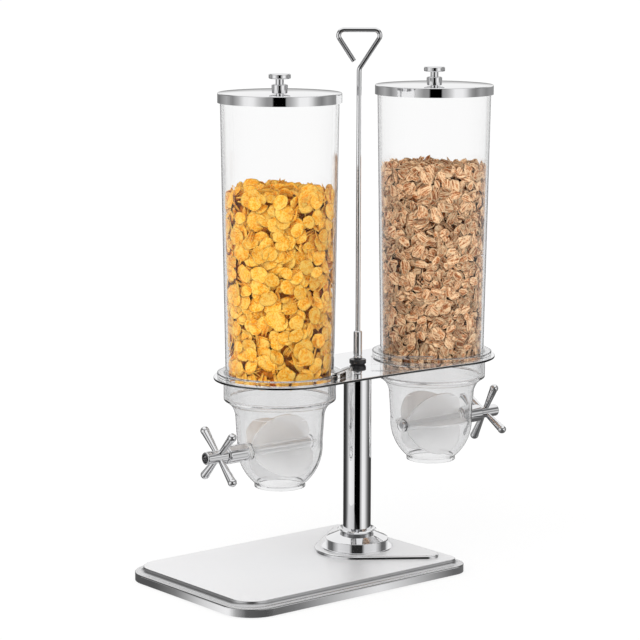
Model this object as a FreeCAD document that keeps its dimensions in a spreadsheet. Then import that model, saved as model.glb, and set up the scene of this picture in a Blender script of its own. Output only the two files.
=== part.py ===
"""Gravity dispenser for dry food: two clear containers on a turning plate over a weighted base.

Frame: origin on the column's axis at table level, +Z up, +X along the base towards its short
end, so the long end of the base reaches towards -X. Lengths are millimetres, angles degrees.
"""

import FreeCAD
import Part
import Sketcher

import math
import os
import re

# name, value, what it is
SIZES = [
    # base
    ("base_front", 274.0, "column axis to the front edge of the base"),
    ("base_back", 82.0, "column axis to the back edge of the base"),
    ("base_half_width", 125.5, "half the width of the base"),
    ("front_corner", 40.0, "corner radius of the base at the front"),
    ("back_corner", 24.0, "corner radius of the base at the back"),
    ("base_sheet", 1.5, "sheet of the pressed base shell"),
    ("shell_lift", 1.0, "table to the lower edge of the base shell"),
    ("band_height", 10.3, "height of the rim's upright band"),
    ("band_round", 1.2, "rounding of the band's upper edge"),
    ("panel_step", 6.5, "height of the panel above the band"),
    ("step_inset", 10.7, "how far the panel stands in from the band"),
    ("cove_round", 5.6, "hollow curve that runs from the band's ledge up to the panel"),
    ("panel_round", 0.7, "rounding of the panel's edge"),
    ("pad_thickness", 2.0, "anti-slip pad"),
    ("cover_floor", 2.0, "floor of the bottom cover"),
    ("cover_height", 7.5, "bottom cover, over its rim wall"),
    ("cover_wall", 2.5, "rim wall of the bottom cover"),
    ("cover_gap", 0.5, "gap between the bottom cover and the shell"),
    ("weight_thickness", 5.5, "steel weight plate"),
    ("weight_gap", 3.0, "gap between the weight plate and the shell"),
    ("boss_radius", 6.0, "screw bosses of the bottom cover"),
    ("boss_inset", 34.0, "screw bosses from the edges of the base"),
    ("cover_screw", 2.0, "cover screw, thread radius"),
    ("cover_screw_head", 3.9, "cover screw, head radius"),
    ("cover_screw_head_height", 2.0, "cover screw, height of the head"),
    ("cover_screw_bite", 4.0, "how far a cover screw reaches into the weight plate"),
    # raised pad of the shell under the column
    ("fan_height", 4.0, "height of the raised pad"),
    ("fan_nose", 54.0, "radius of the raised pad's front end"),
    ("fan_nose_reach", 54.0, "column axis to the front end of the raised pad"),
    ("fan_back", 60.0, "column axis to the straight back of the raised pad"),
    ("fan_half_width", 97.0, "half the width of the raised pad at its back"),
    ("fan_corner", 14.0, "corner radius of the raised pad at its back"),
    ("fan_round", 2.4, "rounding of the raised pad's edge"),
    # column
    ("column_radius", 17.5, "column tube, outside"),
    ("column_wall", 2.0, "column tube, wall"),
    ("slip_gap", 0.05, "gap of pieces that slide into each other"),
    ("foot_flange", 44.9, "thin flange under the column's foot, radius"),
    ("foot_flange_height", 1.4, "thin flange under the column's foot, height"),
    ("foot_radius", 39.6, "band of the column's foot, radius"),
    ("foot_band", 11.7, "top of the foot's band above the raised pad"),
    ("foot_throat", 21.2, "narrowest radius of the foot's cone"),
    ("foot_throat_height", 19.6, "throat above the raised pad"),
    ("foot_lip", 24.5, "flared lip on top of the foot, radius"),
    ("foot_height", 24.0, "top of the flared lip above the raised pad"),
    ("foot_lip_edge", 1.0, "bevel on the edge of the flared lip"),
    ("foot_collar", 1.5, "land round the column at the bottom of the flare"),
    ("clamp_disc_radius", 36.0, "steel disc under the raised pad"),
    ("bolt_radius", 4.0, "column bolt, thread radius"),
    ("bolt_head", 6.5, "column bolt, half the width across flats"),
    ("bolt_head_height", 5.0, "column bolt, height of the head"),
    ("bolt_gap", 0.5, "clearance of the column bolt's holes"),
    ("washer_radius", 11.0, "washer under the bolt's head"),
    ("washer_thickness", 1.6, "washer under the bolt's head"),
    ("plug_length", 22.0, "threaded plug in the foot of the column"),
    # support plate and its pivot
    ("plate_top", 255.8, "top of the support plate above the table"),
    ("plate_thickness", 3.0, "support plate"),
    ("plate_ring", 80.9, "outer radius of the plate round each container"),
    ("plate_waist", 4.9, "how far the plate's waist stands in from that radius"),
    ("plate_round", 0.8, "rounding of the plate's edges"),
    ("bin_spacing", 124.5, "column axis to each container's axis"),
    ("thrust_thickness", 2.0, "plastic washer that the plate turns on"),
    ("pivot_radius", 6.0, "spindle's pivot in the plate"),
    ("pivot_gap", 0.06, "running clearance of the plate on its pivot"),
    ("pivot_rise", 2.2, "how far the pivot stands above the plate"),
    ("spindle_shoulder", 2.8, "spindle's shoulder on top of the column"),
    ("spindle_depth", 26.0, "how far the spindle reaches into the column"),
    ("nut_foot", 8.6, "black nut, radius at the plate"),
    ("nut_radius", 10.5, "black nut, knurled radius"),
    ("nut_height", 7.0, "black nut"),
    ("nut_flare", 2.2, "height of the nut's sloping foot"),
    ("nut_chamfer", 0.6, "chamfer on the nut's upper edge"),
    ("knurl_depth", 0.35, "depth of the nut's knurling"),
    ("knurl_width", 0.9, "width of one groove of the knurling"),
    # handle
    ("rod_radius", 3.0, "handle rod"),
    ("rod_start", 232.0, "lower end of the handle rod above the table"),
    ("neck_radius", 5.6, "round neck between nut and ferrule"),
    ("neck_height", 4.7, "round neck"),
    ("ferrule_radius", 5.3, "ferrule on the rod"),
    ("ferrule_chamfer", 0.5, "chamfer at the ferrule's lower edge"),
    ("ferrule_length", 31.4, "ferrule on the rod"),
    ("loop_vertex", 625.0, "where the loop's sides meet above the table"),
    ("loop_width", 62.5, "width of the loop between its corners"),
    ("loop_rise", 48.0, "loop from its vertex to its top bar"),
    ("loop_bend", 7.0, "bend radius of the loop's corners"),
    ("loop_root_bend", 9.0, "bend radius where the rod runs into the loop"),
    ("loop_gap", 11.5, "how far short of the vertex the loop's free end stops"),
    ("loop_turn", -39.3, "direction of the loop's top bar from +X"),
    # bowl
    ("bowl_wall", 2.7, "wall of the bowl"),
    ("flange_radius", 76.5, "flange that rests on the plate"),
    ("flange_thickness", 5.4, "flange that rests on the plate"),
    ("flange_round", 1.0, "rounding of the flange's upper edge"),
    ("socket_wall", 2.0, "wall of the socket that holds the tube"),
    ("socket_gap", 0.9, "gap round the tube's lower end in its socket"),
    ("bowl_hole_gap", 0.3, "gap between the bowl and its hole in the plate"),
    ("seat_height", 229.0, "ledge that carries the tube above the table"),
    ("seat_lip", 0.4, "how far the ledge reaches in past the tube's bore"),
    ("mouth_chamfer", 0.6, "chamfer round the mouth of the socket"),
    ("shoulder_drop", 0.6, "lower edge of the socket's outside below the ledge"),
    ("shoulder_round", 2.2, "rounding under the socket"),
    ("funnel_top", 60.3, "outer radius at the top of the funnel"),
    ("funnel_top_drop", 7.8, "top of the funnel below the ledge"),
    ("funnel_curve", 30.0, "radius of the funnel's hollow curve"),
    ("belly_top", 54.7, "outer radius where the funnel ends"),
    ("belly_top_drop", 19.8, "where the funnel ends below the ledge"),
    ("belly_low", 52.3, "outer radius where the belly starts to round in"),
    ("belly_low_drop", 55.0, "where the belly starts to round in below the ledge"),
    ("belly_curve", 60.0, "radius of the belly's curve"),
    ("spout_radius", 31.3, "rim of the spout, outside"),
    ("spout_wall", 2.8, "wall of the spout"),
    ("spout_drop", 110.8, "lower edge of the spout below the ledge"),
    ("spout_rim", 3.4, "height of the spout's rim"),
    ("spout_neck", 30.5, "outer radius just above the spout's rim"),
    ("spout_step", 1.0, "rise from the spout's rim to its neck"),
    ("bore_rise", 1.7, "rise from the neck to where the spout's bore opens into the bowl"),
    # grip lugs on the flange
    ("lug_outer", 76.3, "outer face of a lug from the container's axis"),
    ("lug_width", 7.6, "width of a lug"),
    ("lug_height", 9.4, "height of a lug"),
    ("lug_short_left", 77.5, "how much shorter than the bin spacing the left lug is"),
    ("lug_short_right", 44.5, "how much shorter than the bin spacing the right lug is"),
    ("lug_turn_left", 116.0, "where the left lug starts, from the outward direction"),
    ("lug_turn_right", -129.0, "where the right lug starts, from the outward direction"),
    ("lug_round", 1.0, "rounding of a lug's top edges"),
    ("rib_pitch", 2.4, "pitch of the grooves in a lug's grip"),
    ("rib_groove", 1.1, "width of a groove in a lug's grip"),
    ("rib_depth", 0.7, "depth of a groove in a lug's grip"),
    # portioning wheel and its shaft
    ("shaft_drop", 61.0, "shaft below the ledge"),
    ("shaft_radius", 4.0, "shaft"),
    ("shaft_gap", 0.06, "running clearance of the shaft"),
    ("shaft_inner_end", 49.0, "shaft's inner end from the container's axis"),
    ("inner_boss_radius", 8.5, "blind bearing boss inside the bowl"),
    ("inner_boss_face", 46.6, "face of that boss from the container's axis"),
    ("outer_boss_radius", 11.0, "bearing boss on the knob's side"),
    ("outer_boss_face", 53.2, "outer face of the bearing boss"),
    ("bush_radius", 6.6, "shaft bush, outside"),
    ("bush_flange", 9.4, "shaft bush, flange radius"),
    ("bush_flange_thickness", 1.5, "shaft bush, flange"),
    ("wheel_radius", 46.0, "portioning wheel, over its paddles"),
    ("wheel_hub", 8.0, "portioning wheel, hub radius"),
    ("wheel_half_length", 43.5, "half the length of the wheel's hub"),
    ("paddle_thickness", 2.2, "one paddle"),
    ("paddle_count", 6, "paddles"),
    # knob
    ("sleeve_gap", 0.3, "gap between the knob's sleeve and the bowl"),
    ("sleeve_radius", 11.0, "knob's sleeve"),
    ("sleeve_round", 2.0, "rounding of the sleeve's ends"),
    ("sleeve_end", 83.0, "where the sleeve meets the knob, from the container's axis"),
    ("knob_hub", 7.8, "hub of the cross knob"),
    ("knob_end", 114.0, "free end of the knob's hub, from the container's axis"),
    ("knob_end_round", 1.5, "rounding of the hub's free end"),
    ("arm_place", 94.0, "middle of the arms, from the container's axis"),
    ("arm_reach", 38.5, "middle of an arm's ball end from the shaft's axis"),
    ("arm_ball", 5.5, "ball end of an arm"),
    ("arm_root", 3.3, "radius of an arm at the hub"),
    ("arm_tip", 5.1, "radius of an arm at its ball end"),
    ("arm_count", 4, "arms"),
    ("knob_turn_left", 45.0, "turn of the left knob"),
    ("knob_turn_right", 28.0, "turn of the right knob"),
    ("knob_socket", 5.0, "bore in the hub's free end, radius"),
    ("knob_socket_depth", 9.5, "bore in the hub's free end, depth"),
    ("knob_web", 2.5, "web in the hub that the screw clamps"),
    ("knob_screw", 1.9, "knob screw, thread radius"),
    ("knob_screw_head", 3.6, "knob screw, head radius"),
    ("knob_screw_head_height", 2.8, "knob screw, height of the head"),
    ("knob_screw_bite", 12.0, "how far the knob screw reaches into the shaft"),
    ("hex_key", 1.5, "half the width of the screws' hexagon sockets"),
    # tube
    ("gasket_thickness", 1.5, "ring under the tube"),
    ("tube_top", 597.5, "upper edge of the tube above the table"),
    ("tube_low_radius", 65.7, "tube, outside at its lower end"),
    ("tube_high_radius", 71.9, "tube, outside at its upper end"),
    ("tube_wall", 3.0, "tube, wall"),
    # food
    ("food_gap", 0.3, "gap between the food and the tube"),
    ("food_rise", 20.0, "lowest food above the ledge"),
    ("food_top_left", 484.0, "top of the food in the left tube"),
    ("food_top_right", 500.0, "top of the food in the right tube"),
    ("flake_rise", 6.0, "how far the lower edge of a flake stands out past its upper edge"),
    # lid
    ("lid_radius", 75.0, "lid"),
    ("lid_sheet", 1.0, "sheet of the lid"),
    ("lid_skirt_low", 589.2, "lower edge of the lid's skirt above the table"),
    ("lid_rim_height", 601.3, "upper edge of the lid's rim above the table"),
    ("lid_round", 1.3, "rounding of the lid's rim"),
    ("lid_rise", 2.9, "how far the lid's middle stands above its rim"),
    ("lid_flat", 11.0, "flat middle of the lid, radius"),
    ("liner_gap", 0.3, "gap between the liner and the lid's dome"),
    ("liner_edge", 73.0, "liner, radius"),
    ("plug_gap", 0.6, "gap between the liner's plug ring and the tube"),
    ("plug_depth", 3.2, "how far the plug ring reaches into the tube"),
    ("plug_wall", 2.2, "wall of the plug ring"),
    ("liner_boss", 10.0, "boss of the liner under the lid's middle"),
    ("lid_screw", 2.5, "lid screw, thread radius"),
    ("lid_screw_head", 4.5, "lid screw, head radius"),
    ("lid_screw_head_height", 2.8, "lid screw, height of the head"),
    ("lid_screw_gap", 0.1, "clearance of the lid screw's holes"),
    ("lid_screw_bite", 10.0, "how far the lid screw reaches into the lid knob"),
    ("lid_knob_base", 9.8, "lid knob, radius of its base"),
    ("lid_knob_round", 1.2, "rounding of the base of the lid knob"),
    ("lid_knob_base_height", 6.8, "lid knob, height of its base"),
    ("lid_knob_neck", 5.0, "lid knob, radius of its neck"),
    ("lid_knob_neck_height", 6.4, "lid knob, height of its neck"),
    ("lid_knob_disc", 13.35, "lid knob, radius of its disc"),
    ("lid_knob_disc_height", 6.4, "lid knob, height of its disc"),
    ("lid_knob_disc_round", 1.6, "rounding of the lid knob's disc"),
    ("lid_knob_dish", 2.0, "depth of the dish in the lid knob's disc"),
    # small edges
    ("small_round", 0.8, "rounding of the spout's and the foot's edges"),
    ("end_room", 1.0, "room left past the end of a screw"),
]

# derived places, each worked out from the sizes above
PANEL_TOP = "(shell_lift + band_height + panel_step)"
STEP_TOP = "(shell_lift + band_height)"
FAN_TOP = f"({PANEL_TOP} + fan_height)"
PANEL_UNDER = f"({PANEL_TOP} - base_sheet)"
WEIGHT_LOW = f"({PANEL_UNDER} - weight_thickness)"
PLATE_UNDER = "(plate_top - plate_thickness)"
COLUMN_TOP = f"({PLATE_UNDER} - thrust_thickness - spindle_shoulder)"
NUT_TOP = "(plate_top + nut_height)"
NECK_TOP = f"({NUT_TOP} + neck_height)"
SOCKET_RADIUS = "(tube_low_radius + socket_gap)"
BOWL_RADIUS = f"({SOCKET_RADIUS} + socket_wall)"
FLANGE_TOP = "(plate_top + flange_thickness)"
SEAT_RADIUS = "(tube_low_radius - tube_wall - seat_lip)"
SHOULDER = "(seat_height - shoulder_drop)"
FUNNEL_TOP = "(seat_height - funnel_top_drop)"
BELLY_TOP = "(seat_height - belly_top_drop)"
BELLY_LOW = "(seat_height - belly_low_drop)"
SPOUT_LOW = "(seat_height - spout_drop)"
SPOUT_NECK = f"({SPOUT_LOW} + spout_rim + spout_step)"
SHAFT_HEIGHT = "(seat_height - shaft_drop)"
FOOD_LOW = "(seat_height + food_rise)"
TUBE_LOW = "(seat_height + gasket_thickness)"
TUBE_SLOPE = f"((tube_high_radius - tube_low_radius) / (tube_top - {TUBE_LOW}))"
LID_TOP = "(lid_rim_height + lid_rise)"
SHAFT_BORE = "(shaft_radius + shaft_gap)"
KNOB_BORE_END = "(knob_end - knob_socket_depth - knob_web)"
FLAKE_ROWS = 8
FLAKES_ROUND = 12

UP = FreeCAD.Vector(0, 0, 1)
ACROSS = FreeCAD.Vector(0, 1, 0)

document = FreeCAD.newDocument("food_dispenser")
sheet = document.addObject("Spreadsheet::Sheet", "sizes")
NAMES = re.compile(r"\b(" + "|".join(name for name, _, _ in SIZES) + r")\b")


class Side:
    """One of the two containers: its name, which way it faces and which way its lug runs."""

    def __init__(self, name, direction, lug_way):
        self.name = name
        self.direction = direction
        self.sign = "" if direction > 0 else "-"
        self.lug_way = lug_way


SIDES = [Side("left", -1, ""), Side("right", 1, "-")]


# ---------------------------------------------------------------- sizes and sketches


def fill_sheet():
    """Writes the sizes in the sheet, each under its name."""
    for row, (name, number, meaning) in enumerate(SIZES, start=1):
        sheet.set(f"A{row}", name)
        sheet.set(f"B{row}", str(number))
        sheet.set(f"C{row}", meaning)
        sheet.setAlias(f"B{row}", name)
    document.recompute()


def bound(text):
    """A formula in the sizes' names as FreeCAD writes it."""
    return NAMES.sub(r"sizes.\1", str(text))


def value(text):
    """What a formula gives now, in mm or degrees."""
    result = sheet.evalExpression(bound(text))
    return float(getattr(result, "Value", result))


def new_body(label):
    body = document.addObject("PartDesign::Body", label)
    body.Label = label
    return body


def new_sketch(body, name, plane="XZ_Plane", lift="0", turn="0"):
    """A sketch on one of the body's own planes, lifted along the plane's normal.

    It can be turned about the body's Z, which is the sketch's own v axis on an upright plane.
    """
    sketch = body.newObject("Sketcher::SketchObject", f"{body.Name}_{name}")
    support = [item for item in body.Origin.OriginFeatures if item.Role == plane][0]
    sketch.AttachmentSupport = [(support, "")]
    sketch.MapMode = "FlatFace"
    axis = UP if plane == "XY_Plane" else ACROSS
    sketch.AttachmentOffset = FreeCAD.Placement(
        FreeCAD.Vector(0, 0, value(lift)), FreeCAD.Rotation(axis, value(turn))
    )
    if lift != "0":
        sketch.setExpression("AttachmentOffset.Base.z", bound(lift))
    if turn != "0":
        sketch.setExpression("AttachmentOffset.Rotation.Angle", f"{bound(turn)} * 1 deg")
    return sketch


def pin_point(sketch, geometry, end, u, v):
    """Holds one end of a line or arc at a place given by two formulas."""
    for kind, axis, text in (("DistanceX", -2, u), ("DistanceY", -1, v)):
        if str(text) == "0":
            sketch.addConstraint(Sketcher.Constraint("PointOnObject", geometry, end, axis))
            continue
        constraint = Sketcher.Constraint(kind, -1, 1, geometry, end, value(text))
        number = sketch.addConstraint(constraint)
        sketch.setExpression(f"Constraints[{number}]", bound(text))


def arc_between(first, last, radius, turn):
    """The shorter arc from one point to another, turning ccw or cw."""
    chord = last - first
    rise = math.sqrt(max(radius**2 - chord.Length**2 / 4, 0.0))
    normal = FreeCAD.Vector(-chord.y, chord.x, 0).normalize()
    centre = (first + last) * 0.5 + normal * (rise if turn == "ccw" else -rise)
    start, end = (first, last) if turn == "ccw" else (last, first)
    angles = [math.atan2(p.y - centre.y, p.x - centre.x) for p in (start, end)]
    return Part.ArcOfCircle(Part.Circle(centre, UP, radius), *angles)


def draw_outline(sketch, nodes):
    """A closed outline. A node is (u, v), or (u, v, turn, radius) where an arc follows it."""
    points = [FreeCAD.Vector(value(node[0]), value(node[1]), 0) for node in nodes]
    ends = []
    for index, node in enumerate(nodes):
        first, last = points[index], points[(index + 1) % len(nodes)]
        if len(node) == 2:
            geometry = sketch.addGeometry(Part.LineSegment(first, last))
            ends.append((geometry, 1, 2))
            continue
        turn, radius = node[2:]
        geometry = sketch.addGeometry(arc_between(first, last, value(radius), turn))
        ends.append((geometry, 1, 2) if turn == "ccw" else (geometry, 2, 1))
    for index, (geometry, start, end) in enumerate(ends):
        following, following_start, _ = ends[(index + 1) % len(ends)]
        join = Sketcher.Constraint("Coincident", geometry, end, following, following_start)
        sketch.addConstraint(join)
        pin_point(sketch, geometry, start, nodes[index][0], nodes[index][1])
        if len(nodes[index]) == 4:
            radius = nodes[index][3]
            size = Sketcher.Constraint("Radius", geometry, value(radius))
            number = sketch.addConstraint(size)
            sketch.setExpression(f"Constraints[{number}]", bound(radius))
    return sketch


def draw_circles(sketch, circles):
    """Circles, each given as (u, v, radius)."""
    for u, v, radius in circles:
        centre = FreeCAD.Vector(value(u), value(v), 0)
        geometry = sketch.addGeometry(Part.Circle(centre, UP, value(radius)))
        pin_point(sketch, geometry, 3, u, v)
        number = sketch.addConstraint(Sketcher.Constraint("Radius", geometry, value(radius)))
        sketch.setExpression(f"Constraints[{number}]", bound(radius))
    return sketch


def rectangle(low_u, low_v, high_u, high_v):
    return [(low_u, low_v), (high_u, low_v), (high_u, high_v), (low_u, high_v)]


def hexagon(half_flats):
    """Outline of a hexagon about the origin with the given half width across flats."""
    corners = []
    for step in range(6):
        cosine = f"cos({60 * step} deg)"
        sine = f"sin({60 * step} deg)"
        reach = f"({half_flats}) / cos(30 deg)"
        corners.append((f"{reach} * {cosine}", "0" if step in (0, 3) else f"{reach} * {sine}"))
    return corners


# ---------------------------------------------------------------- features


def add_feature(body, kind, name, sketch):
    feature = body.newObject(f"PartDesign::{kind}", f"{body.Name}_{name}")
    feature.Profile = sketch
    return feature


def pad(body, name, sketch, height, symmetric=False):
    """Adds the sketch's outline, extended along its normal."""
    feature = add_feature(body, "Pad", name, sketch)
    feature.Length = value(height)
    feature.setExpression("Length", bound(height))
    if symmetric:
        feature.SideType = "Symmetric"
    document.recompute()
    return feature


def cut(body, name, sketch, depth, upward=False):
    """Cuts the sketch's outline, down from its plane or up from it."""
    document.recompute()
    before = body.Shape.Volume
    feature = add_feature(body, "Pocket", name, sketch)
    feature.Length = value(depth)
    feature.setExpression("Length", bound(depth))
    feature.Reversed = upward
    document.recompute()
    if body.Shape.Volume > before - 1e-6:
        raise RuntimeError(f"{feature.Name} cuts nothing")
    return feature


def revolve(body, name, nodes):
    """Turns an outline of (radius, height) nodes about the body's Z axis."""
    sketch = draw_outline(new_sketch(body, f"{name}_outline"), nodes)
    feature = add_feature(body, "Revolution", name, sketch)
    feature.ReferenceAxis = (sketch, ["V_Axis"])
    feature.Angle = 360
    document.recompute()
    return feature


def turned(label, nodes):
    """A piece that is turned on a lathe, or moulded round."""
    body = new_body(label)
    revolve(body, "turning", nodes)
    return body


def edges_where(shape, test):
    """Names of the edges whose ends and middle all pass the test."""
    found = []
    for number, edge in enumerate(shape.Edges, start=1):
        middle = edge.valueAt((edge.FirstParameter + edge.LastParameter) / 2)
        if all(test(point) for point in [vertex.Point for vertex in edge.Vertexes] + [middle]):
            found.append(f"Edge{number}")
    return found


def round_edges(body, name, radius, test):
    """Rounds the edges of the body's last feature that pass the test."""
    base = body.Tip
    names = edges_where(base.Shape, test)
    if not names:
        raise RuntimeError(f"{name} finds no edge")
    feature = body.newObject("PartDesign::Fillet", f"{body.Name}_{name}")
    feature.Base = (base, names)
    feature.Radius = value(radius)
    feature.setExpression("Radius", bound(radius))
    document.recompute()
    return feature


def at_height(height):
    """A test for points at one height."""
    level = value(height)
    return lambda point: abs(point.z - level) < 1e-4


def within_base(height, inset):
    """A test for points at one height that lie further in than an inset from the base's edges."""
    same_level = at_height(height)
    front, back = value(f"-(base_front - ({inset}))"), value(f"base_back - ({inset})")
    reach = value(f"base_half_width - ({inset})")
    return lambda point: (
        same_level(point) and front < point.x < back and -reach < point.y < reach
    )


def repeat_round(body, name, feature, count):
    """Repeats a feature about the body's Z axis."""
    pattern = body.newObject("PartDesign::PolarPattern", f"{body.Name}_{name}")
    pattern.Originals = [feature]
    axis = [item for item in body.Origin.OriginFeatures if item.Role == "Z_Axis"][0]
    pattern.Axis = (axis, [""])
    pattern.Angle = 360
    pattern.Occurrences = int(value(count))
    pattern.setExpression("Occurrences", bound(count))
    body.Tip = pattern
    document.recompute()
    return pattern


# ---------------------------------------------------------------- places


def on_plate(body, side):
    """Puts a piece drawn about its container's axis in place; its +X then faces outward."""
    turn = FreeCAD.Rotation(UP, 0 if side.direction > 0 else 180)
    body.Placement = FreeCAD.Placement(FreeCAD.Vector(), turn)
    body.setExpression("Placement.Base.x", bound(f"{side.sign}bin_spacing"))
    return body


def on_shaft(body, side):
    """Puts a piece drawn about the shaft's axis in place; its +Z then faces outward."""
    body.Placement = FreeCAD.Placement(
        FreeCAD.Vector(), FreeCAD.Rotation(ACROSS, 90 * side.direction)
    )
    body.setExpression("Placement.Base.x", bound(f"{side.sign}bin_spacing"))
    body.setExpression("Placement.Base.z", bound(SHAFT_HEIGHT))
    return body


# ---------------------------------------------------------------- base


def base_outline(inset):
    """The base's rounded outline, inset by a formula. Both corner radii shrink with it."""
    front, back = f"-(base_front - {inset})", f"(base_back - {inset})"
    low, high = f"-(base_half_width - {inset})", f"(base_half_width - {inset})"
    front_round, back_round = f"(front_corner - {inset})", f"(back_corner - {inset})"
    return [
        (f"{front} + {front_round}", low),
        (f"{back} - {back_round}", low, "ccw", back_round),
        (back, f"{low} + {back_round}"),
        (back, f"{high} - {back_round}", "ccw", back_round),
        (f"{back} - {back_round}", high),
        (f"{front} + {front_round}", high, "ccw", front_round),
        (front, f"{high} - {front_round}"),
        (front, f"{low} + {front_round}", "ccw", front_round),
    ]


def fan_outline(inset):
    """The raised pad: a round nose, two straight flanks and a straight back."""
    nose, corner = f"(fan_nose - {inset})", f"(fan_corner - {inset})"
    nose_u = "(fan_nose - fan_nose_reach)"
    corner_u, corner_v = "(fan_back - fan_corner)", "(fan_half_width - fan_corner)"
    # the flanks touch both rounds, so they lean from +X by this angle
    run = f"({corner_u} - {nose_u})"
    reach = f"sqrt({run}^2 + {corner_v}^2)"
    lean = f"(atan({corner_v} / {run}) - asin((fan_nose - fan_corner) / {reach}))"
    nose_touch_u, nose_touch_v = f"{nose_u} - {nose} * sin({lean})", f"{nose} * cos({lean})"
    touch_u, touch_v = f"{corner_u} - {corner} * sin({lean})", f"{corner} * cos({lean})"
    back = f"{corner_u} + {corner}"
    return [
        (f"{nose_u} - {nose}", "0", "ccw", nose),
        (nose_touch_u, f"-{nose_touch_v}"),
        (touch_u, f"-{corner_v} - {touch_v}", "ccw", corner),
        (back, f"-{corner_v}"),
        (back, corner_v, "ccw", corner),
        (touch_u, f"{corner_v} + {touch_v}"),
        (nose_touch_u, nose_touch_v, "ccw", nose),
    ]


def boss_places():
    """The four screw places of the bottom cover."""
    front, back = "-(base_front - boss_inset)", "(base_back - boss_inset)"
    side = "(base_half_width - boss_inset)"
    return [(front, f"-{side}"), (back, f"-{side}"), (back, side), (front, side)]


def boss_circles(radius):
    return [(u, v, radius) for u, v in boss_places()]


def base_shell():
    """Pressed sheet: an upright band, a cove up to the flat panel and a pad for the column."""
    body = new_body("base_shell")
    lower = new_sketch(body, "band", "XY_Plane", "shell_lift")
    pad(body, "band_pad", draw_outline(lower, base_outline("0")), "band_height")
    round_edges(body, "band_round", "band_round", at_height(STEP_TOP))
    upper = new_sketch(body, "panel", "XY_Plane", STEP_TOP)
    pad(body, "panel_pad", draw_outline(upper, base_outline("step_inset")), "panel_step")
    round_edges(body, "cove", "cove_round", within_base(STEP_TOP, "step_inset - panel_round"))
    round_edges(body, "panel_round", "panel_round", at_height(PANEL_TOP))
    fan = new_sketch(body, "fan", "XY_Plane", PANEL_TOP)
    pad(body, "fan_pad", draw_outline(fan, fan_outline("0")), "fan_height")
    round_edges(body, "fan_round", "fan_round", at_height(FAN_TOP))
    hollow = new_sketch(body, "hollow", "XY_Plane", "shell_lift")
    draw_outline(hollow, base_outline("base_sheet"))
    cut(body, "hollow_cut", hollow, "band_height - base_sheet", upward=True)
    room = new_sketch(body, "room", "XY_Plane", "shell_lift")
    draw_outline(room, base_outline("(step_inset + base_sheet)"))
    cut(body, "room_cut", room, "band_height + panel_step - base_sheet", upward=True)
    brim = within_base(f"{STEP_TOP} - base_sheet", "step_inset - panel_round")
    round_edges(body, "room_round", "cove_round", brim)
    fan_room = new_sketch(body, "fan_room", "XY_Plane", PANEL_UNDER)
    draw_outline(fan_room, fan_outline("base_sheet"))
    cut(body, "fan_room_cut", fan_room, "fan_height", upward=True)
    bore = new_sketch(body, "bolt_hole", "XY_Plane", FAN_TOP)
    draw_circles(bore, [("0", "0", "bolt_radius + bolt_gap")])
    cut(body, "bolt_hole_cut", bore, "base_sheet")


def base_pad():
    """Rubber sheet that the dispenser stands on."""
    body = new_body("base_pad")
    outline = new_sketch(body, "outline", "XY_Plane")
    draw_outline(outline, base_outline("(base_sheet + cover_gap + cover_wall)"))
    pad(body, "sheet", outline, "pad_thickness")


def bottom_cover():
    """Moulded tray that closes the base: floor, rim wall and four screw bosses."""
    body = new_body("bottom_cover")
    inset = "(base_sheet + cover_gap)"
    outline = new_sketch(body, "outline", "XY_Plane", "pad_thickness")
    pad(body, "block", draw_outline(outline, base_outline(inset)), "cover_height")
    hollow = new_sketch(body, "hollow", "XY_Plane", "pad_thickness + cover_height")
    draw_outline(hollow, base_outline(f"({inset} + cover_wall)"))
    cut(body, "hollow_cut", hollow, "cover_height - cover_floor")
    rise = f"{WEIGHT_LOW} - pad_thickness"
    bosses = new_sketch(body, "bosses", "XY_Plane", "pad_thickness")
    pad(body, "bosses_pad", draw_circles(bosses, boss_circles("boss_radius")), rise)
    holes = new_sketch(body, "holes", "XY_Plane", "pad_thickness")
    draw_circles(holes, boss_circles("cover_screw + slip_gap"))
    cut(body, "holes_cut", holes, rise, upward=True)
    sinks = new_sketch(body, "sinks", "XY_Plane", "pad_thickness")
    draw_circles(sinks, boss_circles("cover_screw_head + slip_gap"))
    cut(body, "sinks_cut", sinks, "cover_screw_head_height", upward=True)


def weight_plate():
    """Steel plate under the panel, tapped for the cover's screws."""
    body = new_body("weight_plate")
    outline = new_sketch(body, "outline", "XY_Plane", WEIGHT_LOW)
    draw_outline(outline, base_outline("(step_inset + base_sheet + weight_gap)"))
    pad(body, "plate", outline, "weight_thickness")
    hole = new_sketch(body, "hole", "XY_Plane", WEIGHT_LOW)
    draw_circles(hole, [("0", "0", "bolt_radius + bolt_gap")])
    cut(body, "hole_cut", hole, "weight_thickness", upward=True)
    taps = new_sketch(body, "taps", "XY_Plane", WEIGHT_LOW)
    draw_circles(taps, boss_circles("cover_screw + slip_gap"))
    cut(body, "taps_cut", taps, "cover_screw_bite + slip_gap", upward=True)


def cover_screws():
    """Four flush screws that hold the bottom cover against the weight plate."""
    body = new_body("cover_screws")
    heads = new_sketch(body, "heads", "XY_Plane", "pad_thickness")
    draw_circles(heads, boss_circles("cover_screw_head"))
    pad(body, "heads_pad", heads, "cover_screw_head_height")
    shanks = new_sketch(body, "shanks", "XY_Plane", "pad_thickness")
    draw_circles(shanks, boss_circles("cover_screw"))
    pad(body, "shanks_pad", shanks, f"{WEIGHT_LOW} + cover_screw_bite - pad_thickness")
    keys = new_sketch(body, "keys", "XY_Plane", "pad_thickness")
    draw_circles(keys, boss_circles("hex_key"))
    cut(body, "keys_cut", keys, "cover_screw_head_height / 2", upward=True)


def clamp_disc():
    """Steel disc that fills the raised pad from below and takes the bolt's pull."""
    inner = "bolt_radius + bolt_gap"
    outer = "clamp_disc_radius - slip_gap"
    turned("clamp_disc", rectangle(inner, PANEL_UNDER, outer, f"{FAN_TOP} - base_sheet"))


# ---------------------------------------------------------------- column


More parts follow.
